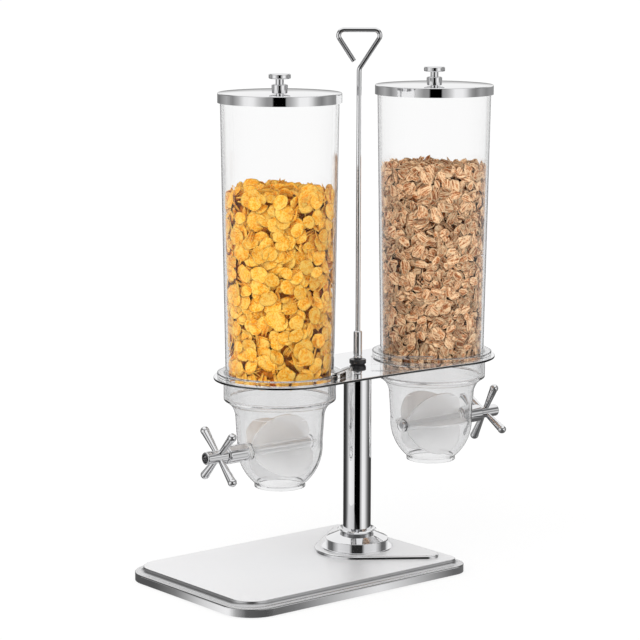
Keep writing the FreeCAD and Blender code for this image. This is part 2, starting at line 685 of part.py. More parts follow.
def column_bolt():
    """Hexagon bolt that pulls the column down on the base."""
    body = new_body("column_bolt")
    head_top = f"({WEIGHT_LOW} - washer_thickness)"
    outline = new_sketch(body, "head", "XY_Plane", f"{head_top} - bolt_head_height")
    draw_outline(outline, hexagon("bolt_head"))
    pad(body, "head_pad", outline, "bolt_head_height")
    shank = new_sketch(body, "shank", "XY_Plane", head_top)
    draw_circles(shank, [("0", "0", "bolt_radius")])
    pad(body, "shank_pad", shank, f"{FAN_TOP} + plug_length - 3 - {head_top}")


def column_washer():
    """Plain washer under the bolt's head."""
    low = f"({WEIGHT_LOW} - washer_thickness)"
    turned("column_washer", rectangle("bolt_radius + bolt_gap", low, "washer_radius", WEIGHT_LOW))


def column_plug():
    """Tapped plug in the lower end of the column."""
    inner = "bolt_radius + slip_gap"
    outer = "column_radius - column_wall - slip_gap"
    turned("column_plug", rectangle(inner, FAN_TOP, outer, f"{FAN_TOP} + plug_length"))


def column_foot():
    """Turned foot round the column: thin flange, band, cone and flared lip."""
    inner = "column_radius + slip_gap"
    throat = f"{FAN_TOP} + foot_throat_height"
    turned("column_foot", [
        (inner, FAN_TOP),
        ("foot_flange", FAN_TOP),
        ("foot_flange", f"{FAN_TOP} + foot_flange_height / 2", "ccw", "foot_flange_height"),
        ("foot_flange - foot_flange_height", f"{FAN_TOP} + foot_flange_height"),
        ("foot_radius", f"{FAN_TOP} + foot_flange_height"),
        ("foot_radius", f"{FAN_TOP} + foot_band - small_round", "ccw", "small_round"),
        ("foot_radius - small_round", f"{FAN_TOP} + foot_band"),
        ("foot_throat", throat),
        ("foot_lip", f"{FAN_TOP} + foot_height - foot_lip_edge"),
        ("foot_lip - foot_lip_edge", f"{FAN_TOP} + foot_height"),
        (f"{inner} + foot_collar", throat),
        (inner, throat),
    ])


def column_tube():
    """Chromed steel tube between the base and the spindle."""
    inner = "column_radius - column_wall"
    turned("column_tube", rectangle(inner, FAN_TOP, "column_radius", COLUMN_TOP))


def column_spindle():
    """Turned spindle: a plug in the column, a shoulder and the pivot that the plate turns on."""
    bore = "rod_radius + slip_gap"
    turned("column_spindle", [
        (bore, f"{COLUMN_TOP} - spindle_depth"),
        ("column_radius - column_wall - slip_gap", f"{COLUMN_TOP} - spindle_depth"),
        ("column_radius - column_wall - slip_gap", COLUMN_TOP),
        ("column_radius", COLUMN_TOP),
        ("column_radius", f"{COLUMN_TOP} + spindle_shoulder"),
        ("pivot_radius", f"{COLUMN_TOP} + spindle_shoulder"),
        ("pivot_radius", "plate_top + pivot_rise"),
        (bore, "plate_top + pivot_rise"),
    ])


def thrust_washer():
    """Slippery plastic washer between the spindle's shoulder and the plate."""
    inner = "pivot_radius + pivot_gap"
    low = f"({PLATE_UNDER} - thrust_thickness)"
    turned("thrust_washer", rectangle(inner, low, "column_radius - 1", PLATE_UNDER))


def clamp_nut():
    """Black knurled nut that keeps the plate on its pivot."""
    body = turned("clamp_nut", [
        ("pivot_radius + pivot_gap", "plate_top"),
        ("nut_foot", "plate_top"),
        ("nut_radius", "plate_top + nut_flare"),
        ("nut_radius", f"{NUT_TOP} - nut_chamfer"),
        ("nut_radius - nut_chamfer", NUT_TOP),
        ("rod_radius + slip_gap", NUT_TOP),
        ("rod_radius + slip_gap", "plate_top + pivot_rise + slip_gap"),
        ("pivot_radius + pivot_gap", "plate_top + pivot_rise + slip_gap"),
    ])
    groove = new_sketch(body, "groove", "XY_Plane", f"{NUT_TOP} - nut_chamfer")
    inner = "nut_radius - knurl_depth"
    draw_outline(groove, rectangle(inner, "-knurl_width / 2", "nut_radius + 1", "knurl_width / 2"))
    notch = cut(body, "groove_cut", groove, "nut_height - nut_flare - nut_chamfer")
    repeat_round(body, "knurling", notch, "24")


# ---------------------------------------------------------------- handle


def handle_neck():
    """Flattened ball between the nut and the ferrule."""
    bore = "rod_radius + slip_gap"
    waist = "(rod_radius + 1)"
    middle = f"{NUT_TOP} + neck_height / 2"
    bulge = f"(((neck_radius - {waist})^2 + (neck_height / 2)^2) / (2 * (neck_radius - {waist})))"
    turned("handle_neck", [
        (bore, NUT_TOP),
        (waist, NUT_TOP, "ccw", bulge),
        ("neck_radius", middle, "ccw", bulge),
        (waist, NECK_TOP),
        (bore, NECK_TOP),
    ])


def handle_ferrule():
    """Thicker sleeve on the lower end of the rod with a rounded top."""
    bore = "rod_radius + slip_gap"
    top = f"({NECK_TOP} + ferrule_length)"
    dome = "((ferrule_radius - rod_radius) * 0.9)"
    turned("handle_ferrule", [
        (bore, NECK_TOP),
        ("ferrule_radius - ferrule_chamfer", NECK_TOP),
        ("ferrule_radius", f"{NECK_TOP} + ferrule_chamfer"),
        ("ferrule_radius", f"{top} - {dome}", "ccw", dome),
        (f"ferrule_radius - {dome}", top),
        (bore, top),
    ])


def draw_path(sketch, start, runs):
    """An open path of straight runs joined by tangent arcs.

    start is (u, v). A run is (length, heading) in formulas, and every run but the first is
    (length, heading, radius), where the radius is that of the arc before it.
    """
    point = FreeCAD.Vector(value(start[0]), value(start[1]), 0)
    previous = None
    for index, run in enumerate(runs):
        heading = math.radians(value(run[1]))
        along = FreeCAD.Vector(math.cos(heading), math.sin(heading), 0)
        if previous is not None:
            before = FreeCAD.Vector(math.cos(previous[1]), math.sin(previous[1]), 0)
            turns_left = before.cross(along).z > 0
            side = 1 if turns_left else -1
            radius = value(run[2])
            centre = point + FreeCAD.Vector(-before.y, before.x, 0) * radius * side
            end = centre - FreeCAD.Vector(-along.y, along.x, 0) * radius * side
            first, last = (point, end) if turns_left else (end, point)
            angles = [math.atan2(p.y - centre.y, p.x - centre.x) for p in (first, last)]
            arc = sketch.addGeometry(Part.ArcOfCircle(Part.Circle(centre, UP, radius), *angles))
            begin, finish = (1, 2) if turns_left else (2, 1)
            sketch.addConstraint(Sketcher.Constraint("Tangent", previous[0], 2, arc, begin))
            number = sketch.addConstraint(Sketcher.Constraint("Radius", arc, radius))
            sketch.setExpression(f"Constraints[{number}]", bound(run[2]))
            point = end
        target = point + along * value(run[0])
        line = sketch.addGeometry(Part.LineSegment(point, target))
        if previous is None:
            pin_point(sketch, line, 1, start[0], start[1])
        else:
            sketch.addConstraint(Sketcher.Constraint("Tangent", arc, finish, line, 1))
        number = sketch.addConstraint(Sketcher.Constraint("Distance", line, value(run[0])))
        sketch.setExpression(f"Constraints[{number}]", bound(run[0]))
        number = sketch.addConstraint(Sketcher.Constraint("Angle", line, heading))
        sketch.setExpression(f"Constraints[{number}]", bound(run[1]))
        previous = (line, heading)
        point = target
    return sketch


def handle_rod():
    """One bent rod: threaded end in the spindle, long shaft and an open triangular loop."""
    body = new_body("handle_rod")
    lean = "atan(loop_width / 2 / loop_rise)"
    side = "sqrt((loop_width / 2)^2 + loop_rise^2)"
    root = f"(loop_root_bend * tan({lean} / 2))"
    corner = f"(loop_bend * tan((90 deg + {lean}) / 2))"
    path = new_sketch(body, "path", turn="loop_turn")
    draw_path(path, ("0", "rod_start"), [
        (f"loop_vertex - rod_start - {root}", "90 deg"),
        (f"{side} - {root} - {corner}", f"90 deg - {lean}", "loop_root_bend"),
        (f"loop_width - 2 * {corner}", "180 deg", "loop_bend"),
        (f"{side} - {corner} - loop_gap", f"270 deg + {lean}", "loop_bend"),
    ])
    section = new_sketch(body, "section", "XY_Plane", "rod_start")
    draw_circles(section, [("0", "0", "rod_radius")])
    document.recompute()
    feature = add_feature(body, "AdditivePipe", "bar", section)
    feature.Spine = path
    document.recompute()


# ---------------------------------------------------------------- support plate


def support_plate():
    """Polished plate with a round end about each container, a shallow waist and three holes."""
    body = new_body("support_plate")
    waist = "(plate_ring - plate_waist)"
    sweep = f"((bin_spacing^2 + {waist}^2 - plate_ring^2) / (2 * plate_waist))"
    share = f"(plate_ring / (plate_ring + {sweep}))"
    touch_u = f"(bin_spacing - bin_spacing * {share})"
    touch_v = f"(({waist} + {sweep}) * {share})"
    end = "(bin_spacing + plate_ring)"
    outline = new_sketch(body, "outline", "XY_Plane", PLATE_UNDER)
    draw_outline(outline, [
        (touch_u, f"-{touch_v}", "ccw", "plate_ring"),
        (end, "0", "ccw", "plate_ring"),
        (touch_u, touch_v, "cw", sweep),
        (f"-{touch_u}", touch_v, "ccw", "plate_ring"),
        (f"-{end}", "0", "ccw", "plate_ring"),
        (f"-{touch_u}", f"-{touch_v}", "cw", sweep),
    ])
    pad(body, "plate", outline, "plate_thickness")
    upper, lower = at_height("plate_top"), at_height(PLATE_UNDER)
    round_edges(body, "edge_round", "plate_round", lambda point: upper(point) or lower(point))
    holes = new_sketch(body, "holes", "XY_Plane", "plate_top")
    draw_circles(holes, [
        ("0", "0", "pivot_radius + pivot_gap"),
        ("bin_spacing", "0", f"{BOWL_RADIUS} + bowl_hole_gap"),
        ("-bin_spacing", "0", f"{BOWL_RADIUS} + bowl_hole_gap"),
    ])
    cut(body, "holes_cut", holes, "plate_thickness")


# ---------------------------------------------------------------- bowl


def bowl(side):
    """Clear bowl: flange, socket for the tube, funnel, round belly, spout and bearing bosses."""
    body = new_body(f"bowl_{side.name}")
    spout_bore = "spout_radius - spout_wall"
    funnel_inner = "funnel_curve + bowl_wall"
    under_shoulder = f"{BOWL_RADIUS} - shoulder_round"
    revolve(body, "wall", [
        (spout_bore, SPOUT_LOW),
        ("spout_radius - small_round", SPOUT_LOW, "ccw", "small_round"),
        ("spout_radius", f"{SPOUT_LOW} + small_round"),
        ("spout_radius", f"{SPOUT_LOW} + spout_rim"),
        ("spout_neck", SPOUT_NECK, "ccw", "belly_curve"),
        ("belly_low", BELLY_LOW),
        ("belly_top", BELLY_TOP, "cw", "funnel_curve"),
        ("funnel_top", FUNNEL_TOP),
        (under_shoulder, f"{SHOULDER} - shoulder_round", "ccw", "shoulder_round"),
        (BOWL_RADIUS, SHOULDER),
        (BOWL_RADIUS, "plate_top"),
        ("flange_radius", "plate_top"),
        ("flange_radius", f"{FLANGE_TOP} - flange_round", "ccw", "flange_round"),
        ("flange_radius - flange_round", FLANGE_TOP),
        (f"{SOCKET_RADIUS} + mouth_chamfer", FLANGE_TOP),
        (SOCKET_RADIUS, f"{FLANGE_TOP} - mouth_chamfer"),
        (SOCKET_RADIUS, "seat_height"),
        (SEAT_RADIUS, "seat_height"),
        ("funnel_top - bowl_wall", f"{FUNNEL_TOP} + bowl_wall / 2", "ccw", funnel_inner),
        ("belly_top - bowl_wall", f"{BELLY_TOP} + bowl_wall / 4"),
        ("belly_low - bowl_wall", BELLY_LOW, "cw", "belly_curve - bowl_wall"),
        (spout_bore, f"{SPOUT_NECK} + bore_rise"),
    ])
    boss(body, "outer_boss", "outer_boss_radius", "inner_boss_face", "outer_boss_face")
    inside_wall = "-(belly_low - bowl_wall * 0.75)"
    boss(body, "inner_boss", "inner_boss_radius", inside_wall, "-inner_boss_face")
    shaft_hole(body, "bush_hole", "bush_radius + slip_gap", "outer_boss_face", "8")
    blind = "shaft_inner_end + shaft_gap - inner_boss_face"
    shaft_hole(body, "shaft_hole", SHAFT_BORE, "-inner_boss_face", blind)
    lug(body, side)
    return on_plate(body, side)


def boss(body, name, radius, start, end):
    """A round boss through the bowl's wall along the shaft."""
    sketch = new_sketch(body, name, "YZ_Plane", start)
    draw_circles(sketch, [("0", SHAFT_HEIGHT, radius)])
    pad(body, f"{name}_pad", sketch, f"{end} - ({start})")


def shaft_hole(body, name, radius, start, depth):
    """A hole along the shaft, cut inward from its mouth."""
    sketch = new_sketch(body, name, "YZ_Plane", start)
    draw_circles(sketch, [("0", SHAFT_HEIGHT, radius)])
    cut(body, f"{name}_cut", sketch, depth)


def lug(body, side):
    """Straight grip that runs off the flange, with grooves at its free end."""
    turn = f"lug_turn_{side.name}"
    length = f"(bin_spacing - lug_short_{side.name})"
    inner = "(lug_outer - lug_width)"
    arm = new_sketch(body, "lug", "XY_Plane", "plate_top", turn)
    draw_outline(arm, rectangle(inner, "0", "lug_outer", f"{side.lug_way}{length}"))
    pad(body, "lug_pad", arm, "lug_height")
    round_edges(body, "lug_edge", "lug_round", at_height("plate_top + lug_height"))
    grooves = new_sketch(body, "grooves", "XY_Plane", "plate_top + lug_height", turn)
    for step in range(1, 6):
        start = f"{side.lug_way}({length} - {step} * rib_pitch)"
        end = f"{side.lug_way}({length} - {step} * rib_pitch + rib_groove)"
        draw_outline(grooves, rectangle("lug_outer - rib_depth", start, "lug_outer + 1", end))
        draw_outline(grooves, rectangle(f"{inner} - 1", start, f"{inner} + rib_depth", end))
    cut(body, "grooves_cut", grooves, "lug_height")


def shaft_bush(side):
    """Plastic bush in the bowl's bearing boss, flanged on the inside."""
    body = turned(f"shaft_bush_{side.name}", [
        (SHAFT_BORE, "inner_boss_face - bush_flange_thickness"),
        ("bush_flange", "inner_boss_face - bush_flange_thickness"),
        ("bush_flange", "inner_boss_face"),
        ("bush_radius", "inner_boss_face"),
        ("bush_radius", "outer_boss_face"),
        (SHAFT_BORE, "outer_boss_face"),
    ])
    return on_shaft(body, side)


def tube_gasket(side):
    """Soft ring on the ledge under the tube."""
    inner = "tube_low_radius - tube_wall"
    outer = "tube_low_radius + socket_gap / 2"
    ring = rectangle(inner, "seat_height", outer, TUBE_LOW)
    return on_plate(turned(f"tube_gasket_{side.name}", ring), side)


# ---------------------------------------------------------------- wheel and knob


def wheel_shaft(side):
    """Steel shaft from the blind boss to the knob's web, tapped for the knob's screw."""
    tap = "knob_screw + slip_gap"
    body = turned(f"wheel_shaft_{side.name}", [
        ("0", "-(shaft_inner_end)"),
        ("shaft_radius", "-(shaft_inner_end)"),
        ("shaft_radius", KNOB_BORE_END),
        (tap, KNOB_BORE_END),
        (tap, f"{KNOB_BORE_END} - knob_screw_bite - end_room"),
        ("0", f"{KNOB_BORE_END} - knob_screw_bite - end_room"),
    ])
    return on_shaft(body, side)


def portion_wheel(side):
    """Soft wheel of six round paddles on one hub."""
    bore = "shaft_radius + slip_gap"
    body = turned(
        f"portion_wheel_{side.name}",
        rectangle(bore, "-wheel_half_length", "wheel_hub", "wheel_half_length"),
    )
    edge = "sqrt(wheel_radius^2 - wheel_half_length^2)"
    sketch = new_sketch(body, "paddle", turn=f"knob_turn_{side.name}")
    draw_outline(sketch, [
        ("wheel_hub - 1", "-wheel_half_length"),
        (edge, "-wheel_half_length", "ccw", "wheel_radius"),
        (edge, "wheel_half_length"),
        ("wheel_hub - 1", "wheel_half_length"),
    ])
    paddle = pad(body, "paddle_pad", sketch, "paddle_thickness", symmetric=True)
    repeat_round(body, "paddles", paddle, "paddle_count")
    return on_shaft(body, side)


def knob_sleeve(side):
    """Polished sleeve on the shaft between the bowl and the knob."""
    bore = "shaft_radius + slip_gap"
    start = "(outer_boss_face + sleeve_gap)"
    body = turned(f"knob_sleeve_{side.name}", [
        (bore, start),
        ("sleeve_radius - sleeve_round", start, "ccw", "sleeve_round"),
        ("sleeve_radius", f"{start} + sleeve_round"),
        ("sleeve_radius", "sleeve_end - sleeve_round", "ccw", "sleeve_round"),
        ("sleeve_radius - sleeve_round", "sleeve_end"),
        (bore, "sleeve_end"),
    ])
    return on_shaft(body, side)


def cross_knob(side):
    """Chromed knob: a hub with a socket in its end and four arms with ball ends."""
    bore = "shaft_radius + slip_gap"
    body = turned(f"cross_knob_{side.name}", [
        (bore, "sleeve_end"),
        ("knob_hub", "sleeve_end"),
        ("knob_hub", "knob_end - knob_end_round", "ccw", "knob_end_round"),
        ("knob_hub - knob_end_round", "knob_end"),
        ("knob_socket", "knob_end"),
        ("knob_socket", "knob_end - knob_socket_depth"),
        ("knob_screw + slip_gap", "knob_end - knob_socket_depth"),
        ("knob_screw + slip_gap", KNOB_BORE_END),
        (bore, KNOB_BORE_END),
    ])
    sketch = new_sketch(body, "arm", turn=f"knob_turn_{side.name}")
    neck = "(arm_reach - sqrt(arm_ball^2 - arm_tip^2))"
    root = "((shaft_radius + knob_hub) / 2)"
    draw_outline(sketch, [
        (root, "arm_place"),
        ("arm_reach + arm_ball", "arm_place", "ccw", "arm_ball"),
        ("arm_reach", "arm_place + arm_ball", "ccw", "arm_ball"),
        (neck, "arm_place + arm_tip"),
        (root, "arm_place + arm_root"),
    ])
    arm = add_feature(body, "Revolution", "arm_turning", sketch)
    arm.ReferenceAxis = (sketch, ["Edge1"])
    arm.Angle = 360
    document.recompute()
    repeat_round(body, "arms", arm, "arm_count")
    return on_shaft(body, side)


def knob_screw(side):
    """Socket screw that holds the knob and sleeve on the shaft."""
    seat = "(knob_end - knob_socket_depth)"
    body = turned(f"knob_screw_{side.name}", [
        ("0", f"{KNOB_BORE_END} - knob_screw_bite"),
        ("knob_screw", f"{KNOB_BORE_END} - knob_screw_bite"),
        ("knob_screw", seat),
        ("knob_screw_head", seat),
        ("knob_screw_head", f"{seat} + knob_screw_head_height"),
        ("0", f"{seat} + knob_screw_head_height"),
    ])
    key = new_sketch(body, "key", "XY_Plane", f"{seat} + knob_screw_head_height")
    draw_outline(key, hexagon("hex_key"))
    cut(body, "key_cut", key, "knob_screw_head_height / 2")
    return on_shaft(body, side)


# ---------------------------------------------------------------- tube, food and lid


def tube_radius(height):
    """Outer radius of the tapered tube at a height."""
    return f"(tube_low_radius + ({height} - {TUBE_LOW}) * {TUBE_SLOPE})"


def storage_tube(side):
    """Clear tapered tube that holds the food."""
    return on_plate(turned(f"storage_tube_{side.name}", [
        ("tube_low_radius - tube_wall", TUBE_LOW),
        ("tube_low_radius", TUBE_LOW),
        ("tube_high_radius", "tube_top"),
        ("tube_high_radius - tube_wall", "tube_top"),
    ]), side)


def flake_corners(radius, turn):
    """Outline of one row of flakes, each a flat side between two corners on the radius."""
    corners = []
    for step in range(FLAKES_ROUND):
        angle = 360 / FLAKES_ROUND * (step + turn)
        corners.append((f"({radius}) * cos({angle} deg)", f"({radius}) * sin({angle} deg)"))
    return corners


def food(side):
    """The dry food as rows of large flakes that lean outward against the tube."""
    body = new_body(f"cereal_{side.name}")
    row = f"(food_top_{side.name} - {FOOD_LOW}) / {FLAKE_ROWS}"
    for number in range(FLAKE_ROWS):
        low = f"{FOOD_LOW} + {row} * {number}"
        radius = f"{tube_radius(f'({low})')} - tube_wall - food_gap"
        sketch = new_sketch(body, f"row_{number}_outline", "XY_Plane", low)
        draw_outline(sketch, flake_corners(radius, 0.25 + number % 2 / 2))
        feature = pad(body, f"row_{number}", sketch, row)
        feature.TaperAngle = -value(f"atan(flake_rise / ({row}))")
        feature.setExpression("TaperAngle", bound(f"-atan(flake_rise / ({row}))"))
    document.recompute()
    return on_plate(body, side)


def lid(side):
    """Spun chrome cap with a low dome."""
    hole = "lid_screw + lid_screw_gap"
    rim = "(lid_radius - lid_round)"
    dome = f"((({rim} - lid_flat)^2 + lid_rise^2) / (2 * lid_rise))"
    inner_rim = "(lid_radius - lid_sheet)"
    return on_plate(turned(f"lid_{side.name}", [
        (hole, LID_TOP),
        (hole, f"{LID_TOP} - lid_sheet"),
        ("lid_flat", f"{LID_TOP} - lid_sheet", "cw", dome),
        (rim, "lid_rim_height - lid_sheet", "cw", "lid_round - lid_sheet"),
        (inner_rim, "lid_rim_height - lid_round"),
        (inner_rim, "lid_skirt_low"),
        ("lid_radius", "lid_skirt_low"),
        ("lid_radius", "lid_rim_height - lid_round", "ccw", "lid_round"),
        (rim, "lid_rim_height", "ccw", dome),
        ("lid_flat", LID_TOP),
    ]), side)


def lid_liner(side):
    """Moulded disc inside the lid that lies on the tube, with a plug ring that reaches in."""
    hole = "lid_screw + lid_screw_gap"
    plug = f"({tube_radius('(tube_top - plug_depth)')} - tube_wall - plug_gap)"
    top = "(lid_rim_height - lid_sheet - liner_gap)"
    return on_plate(turned(f"lid_liner_{side.name}", [
        (hole, "tube_top"),
        (f"{plug} - plug_wall", "tube_top"),
        (f"{plug} - plug_wall", "tube_top - plug_depth"),
        (plug, "tube_top - plug_depth"),
        (plug, "tube_top"),
        ("liner_edge", "tube_top"),
        ("liner_edge", top),
        ("liner_boss", top),
        ("liner_boss", f"{LID_TOP} - lid_sheet"),
        (hole, f"{LID_TOP} - lid_sheet"),
    ]), side)


def lid_knob(side):
    """Turned knob of the lid: base, neck and a dished disc."""
    bore = "lid_screw + slip_gap"
    neck_low = f"({LID_TOP} + lid_knob_base_height)"
    disc_low = f"({neck_low} + lid_knob_neck_height)"
    top = f"({disc_low} + lid_knob_disc_height)"
    flat = "(lid_knob_disc - lid_knob_disc_round)"
    dish = f"(({flat}^2 + lid_knob_dish^2) / (2 * lid_knob_dish))"
    return on_plate(turned(f"lid_knob_{side.name}", [
        (bore, LID_TOP),
        ("lid_knob_base", LID_TOP),
        ("lid_knob_base", f"{neck_low} - lid_knob_round", "ccw", "lid_knob_round"),
        ("lid_knob_base - lid_knob_round", neck_low),
        ("lid_knob_neck", neck_low),
        ("lid_knob_neck", disc_low),
        (flat, disc_low, "ccw", "lid_knob_disc_round"),
        ("lid_knob_disc", f"{disc_low} + lid_knob_disc_round"),
        ("lid_knob_disc", f"{top} - lid_knob_disc_round", "ccw", "lid_knob_disc_round"),
        (flat, top, "cw", dish),
        ("0", f"{top} - lid_knob_dish"),
        ("0", f"{LID_TOP} + lid_screw_bite + end_room"),
        (bore, f"{LID_TOP} + lid_screw_bite + end_room"),
    ]), side)


def lid_screw(side):
    """Screw from inside that holds the liner, the lid and its knob together."""
    head = "(tube_top - lid_screw_head_height)"
    body = turned(f"lid_screw_{side.name}", [
        ("0", head),
        ("lid_screw_head", head),
        ("lid_screw_head", "tube_top"),
        ("lid_screw", "tube_top"),
        ("lid_screw", f"{LID_TOP} + lid_screw_bite"),
        ("0", f"{LID_TOP} + lid_screw_bite"),
    ])
    key = new_sketch(body, "key", "XY_Plane", head)
    draw_outline(key, hexagon("hex_key"))
    cut(body, "key_cut", key, "lid_screw_head_height / 2", upward=True)
    return on_plate(body, side)


# ---------------------------------------------------------------- the whole dispenser

STAND = [
    base_shell, base_pad, bottom_cover, weight_plate, cover_screws, clamp_disc,
    column_bolt, column_washer, column_plug, column_foot, column_tube, column_spindle,
    thrust_washer, clamp_nut, handle_neck, handle_ferrule, handle_rod, support_plate,
]
CONTAINER = [
    bowl, shaft_bush, tube_gasket, wheel_shaft, portion_wheel, knob_sleeve, cross_knob,
    knob_screw, storage_tube, food, lid, lid_liner, lid_knob, lid_screw,
]


def check_and_write():
    """Stops at a failed feature or a bad shape, then writes one STEP file for each piece."""
    document.recompute()
    for item in document.Objects:
        if "Invalid" in item.State or "Error" in item.State:
            raise RuntimeError(f"{item.Name}: {item.State}")
    pieces = [item for item in document.Objects if item.TypeId == "PartDesign::Body"]
    for piece in pieces:
        if piece.Shape.isNull() or not piece.Shape.isValid():
            raise RuntimeError(f"{piece.Label} has a bad shape")
    os.makedirs("parts", exist_ok=True)
    for piece in pieces:
        piece.Shape.exportStep(f"parts/{piece.Label}.step")
        print(f"{piece.Label:24} {len(piece.Shape.Solids)} solid(s) {piece.Shape.Volume:12.1f} mm3")


fill_sheet()
for make in STAND:
    make()
for which in SIDES:
    for make in CONTAINER:
        make(which)
check_and_write()
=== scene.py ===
"""Looks of a two-container dispenser for dry food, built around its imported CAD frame."""

import math

import bmesh
import bpy
import numpy as np
from bpy.props import FloatProperty, FloatVectorProperty, IntProperty, PointerProperty
from mathutils import Matrix, Vector


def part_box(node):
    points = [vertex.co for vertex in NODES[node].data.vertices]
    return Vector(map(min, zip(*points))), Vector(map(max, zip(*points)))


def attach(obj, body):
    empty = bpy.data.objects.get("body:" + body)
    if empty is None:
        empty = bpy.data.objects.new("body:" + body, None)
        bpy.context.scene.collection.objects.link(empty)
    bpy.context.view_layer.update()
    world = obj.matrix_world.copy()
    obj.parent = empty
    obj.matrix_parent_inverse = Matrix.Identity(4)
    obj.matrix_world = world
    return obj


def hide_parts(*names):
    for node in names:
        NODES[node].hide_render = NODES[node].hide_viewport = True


bl_info = {
    "name": "Food Dispenser Looks",
    "version": (1, 0, 0),
    "blender": (4, 5, 0),
    "location": "View3D > Sidebar > Dispenser",
    "description": "Finishes, food and studio of a buffet dispenser for dry food",
    "category": "Object",
}

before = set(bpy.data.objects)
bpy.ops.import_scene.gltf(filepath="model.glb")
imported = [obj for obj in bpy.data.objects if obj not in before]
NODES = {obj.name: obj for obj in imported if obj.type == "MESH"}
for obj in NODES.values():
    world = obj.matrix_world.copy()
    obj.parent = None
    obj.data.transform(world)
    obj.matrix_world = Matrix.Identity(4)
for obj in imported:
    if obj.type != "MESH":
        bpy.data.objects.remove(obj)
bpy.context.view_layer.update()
MM = 0.001
SIDES = ("left", "right")
# in mm: the tube's wall with the gap inside it, and how much wider its radius is at the top
TUBE_WALL = 3.3
TUBE_FLARE = 6.2
# in metres above the base's lower edge: top of its upright band, foot and top of its cove
BAND_HEIGHT = 0.0085
COVE_FOOT = 0.0105
COVE_TOP = 0.0165
# painted shade on the base: how much its colour is darkened, by height above its lower edge in
# parts of the range, which is in metres, for band, its edge, ledge, cove and panel; it stands for
# dark reflections
PAINTED_SHADE_RANGE = 0.02
PAINTED_SHADE_STOPS = [
    (0.44, 0.0), (0.47, 0.55), (0.5, 0.55), (0.513, 0.24), (0.55, 0.24), (0.62, 0.34), (0.82, 0.34),
    (0.83, 0.05), (1.0, 0.05),
]
# how fast the band seems to fall away from its middle, in metres for each square metre
BOW = 0.618
# in metres: air between a bowl's flange and the plate that it rests on
FLANGE_AIR = 0.00012
# in metres: how near the plate's top a corner of the bowl counts as lying on it
PLATE_REACH = 0.02 * MM
# painted edge shade: how dark clear plastic is painted, from face on at 0 to along its wall at 1
TUBE_EDGE_SHADE = [(0.0, 0.0), (0.7, 0.03), (0.84, 0.6), (1.0, 1.0)]
BOWL_EDGE_SHADE = [(0.0, 0.0), (0.86, 0.02), (0.93, 0.4), (1.0, 1.0)]
CLEAR = (0.96, 0.96, 0.96)
WHITE = (1.0, 1.0, 1.0)
# passes that fill a tube: divisor of the tries, scale of the flakes, share of steep ones, probes
# that may clash, and in mm how far a flake moves inward at most and how deep it may start
CORN_PASSES = (
    (1, 1.0, 0.16, 1, 3.0, 0.0), (6, 0.7, 0.3, 2, 1.5, 0.0), (2, 1.0, 0.15, 7, 2.0, 4.5)
)
WHEAT_PASSES = (
    (1, 1.0, 0.14, 2, 3.0, 0.0), (3, 0.55, 0.1, 2, 1.0, 0.0), (3, 1.0, 0.15, 8, 1.0, 4.0)
)
# spreads the heights of flakes evenly
EVEN_STEP = 0.7548776662
# draws below the first put a flake at the top, others below the second at the bottom
TOP_DRAW, BOTTOM_DRAW = 0.14, 0.18
# random spreads: a flake's length and width as shares, and its lean in radians if it is steep
LENGTHS, WIDTHS, STEEP_LEANS = (0.72, 1.22), (0.85, 1.1), (0.75, 1.4)
FLAT_LEAN = 0.3
MOST_LEAN = {"wall": 1.45, "top": 1.15, "bottom": 1.15}
# flakes in a steep stack: from the first up to, not including, the second
STACK = (2, 6)
# tested points round a flake; they clash inside this square of a share of another's outline
PROBES = 12
OUTLINE = 0.93
# in mm: one step inward, how far a probe may pass the wall, and air between flakes and wall
STEP_INWARD = 0.9
WALL_SLACK = 0.2
WALL_AIR = 0.15
# rings of points in a flake, as shares of its radius
FLAKE_RINGS = (0.5, 0.85, 1.0)
# in metres: how far the floor lies below the pad
FLOOR_DROP = 0.0002
# how white the floor is shown to the camera and through clear plastic
FLOOR_SEEN, FLOOR_THROUGH = 0.82, 0.95


# ---------------------------- settings


def colour_property(name, description, default):
    return FloatVectorProperty(
        name=name, description=description, default=default, subtype="COLOR", min=0.0, max=1.0
    )


def number_property(name, description, default, **limits):
    return FloatProperty(name=name, description=description, default=default, **limits)


def share_property(name, description, default):
    return number_property(name, description, default, min=0.0, max=1.0)


def size_property(name, description, default):
    return number_property(name, description, default, min=0.005, subtype="DISTANCE", unit="LENGTH")


def count_property(name, description, default):
    return IntProperty(name=name, description=description, default=default, min=10)


class ChromeSettings(bpy.types.PropertyGroup):
    colour: colour_property("Chrome", "Colour of the chrome plating", (0.86, 0.86, 0.87))
    plate_colour: colour_property(
        "Polished plate", "Colour of the polished steel plate", (0.88, 0.88, 0.89)
    )
    steel_colour: colour_property("Plain steel", "Colour of unplated steel", (0.5, 0.5, 0.51))
    roughness: share_property("Chrome roughness", "Roughness of clean chrome", 0.035)
    satin: share_property("Satin roughness", "Roughness of the satin top of the base", 0.4)
    wipe_scale: size_property("Wipe marks", "Size of the faint marks that wiping leaves", 0.03)


class PlasticSettings(bpy.types.PropertyGroup):
    tube_tint: colour_property("Tube", "Tint of the clear tube", (0.985, 0.985, 0.985))
    bowl_tint: colour_property("Bowl", "Tint of the clear bowl", (0.865, 0.865, 0.868))
    # painted shade of clear plastic seen along its wall
    edge_shade_tint: colour_property(
        "Clear edge", "Tint of clear plastic seen along its wall", (0.25, 0.25, 0.26)
    )
    silicone: colour_property("Silicone", "Colour of the portioning wheel", (0.87, 0.87, 0.872))
    clearness: share_property("Clearness", "How much light passes straight through silicone", 0.5)
    black: colour_property("Black", "Colour of the black mouldings", (0.03, 0.03, 0.031))
    white: colour_property("White", "Colour of the white mouldings", (0.78, 0.78, 0.77))
    rubber: colour_property("Rubber", "Colour of the anti-slip pad", (0.02, 0.02, 0.02))


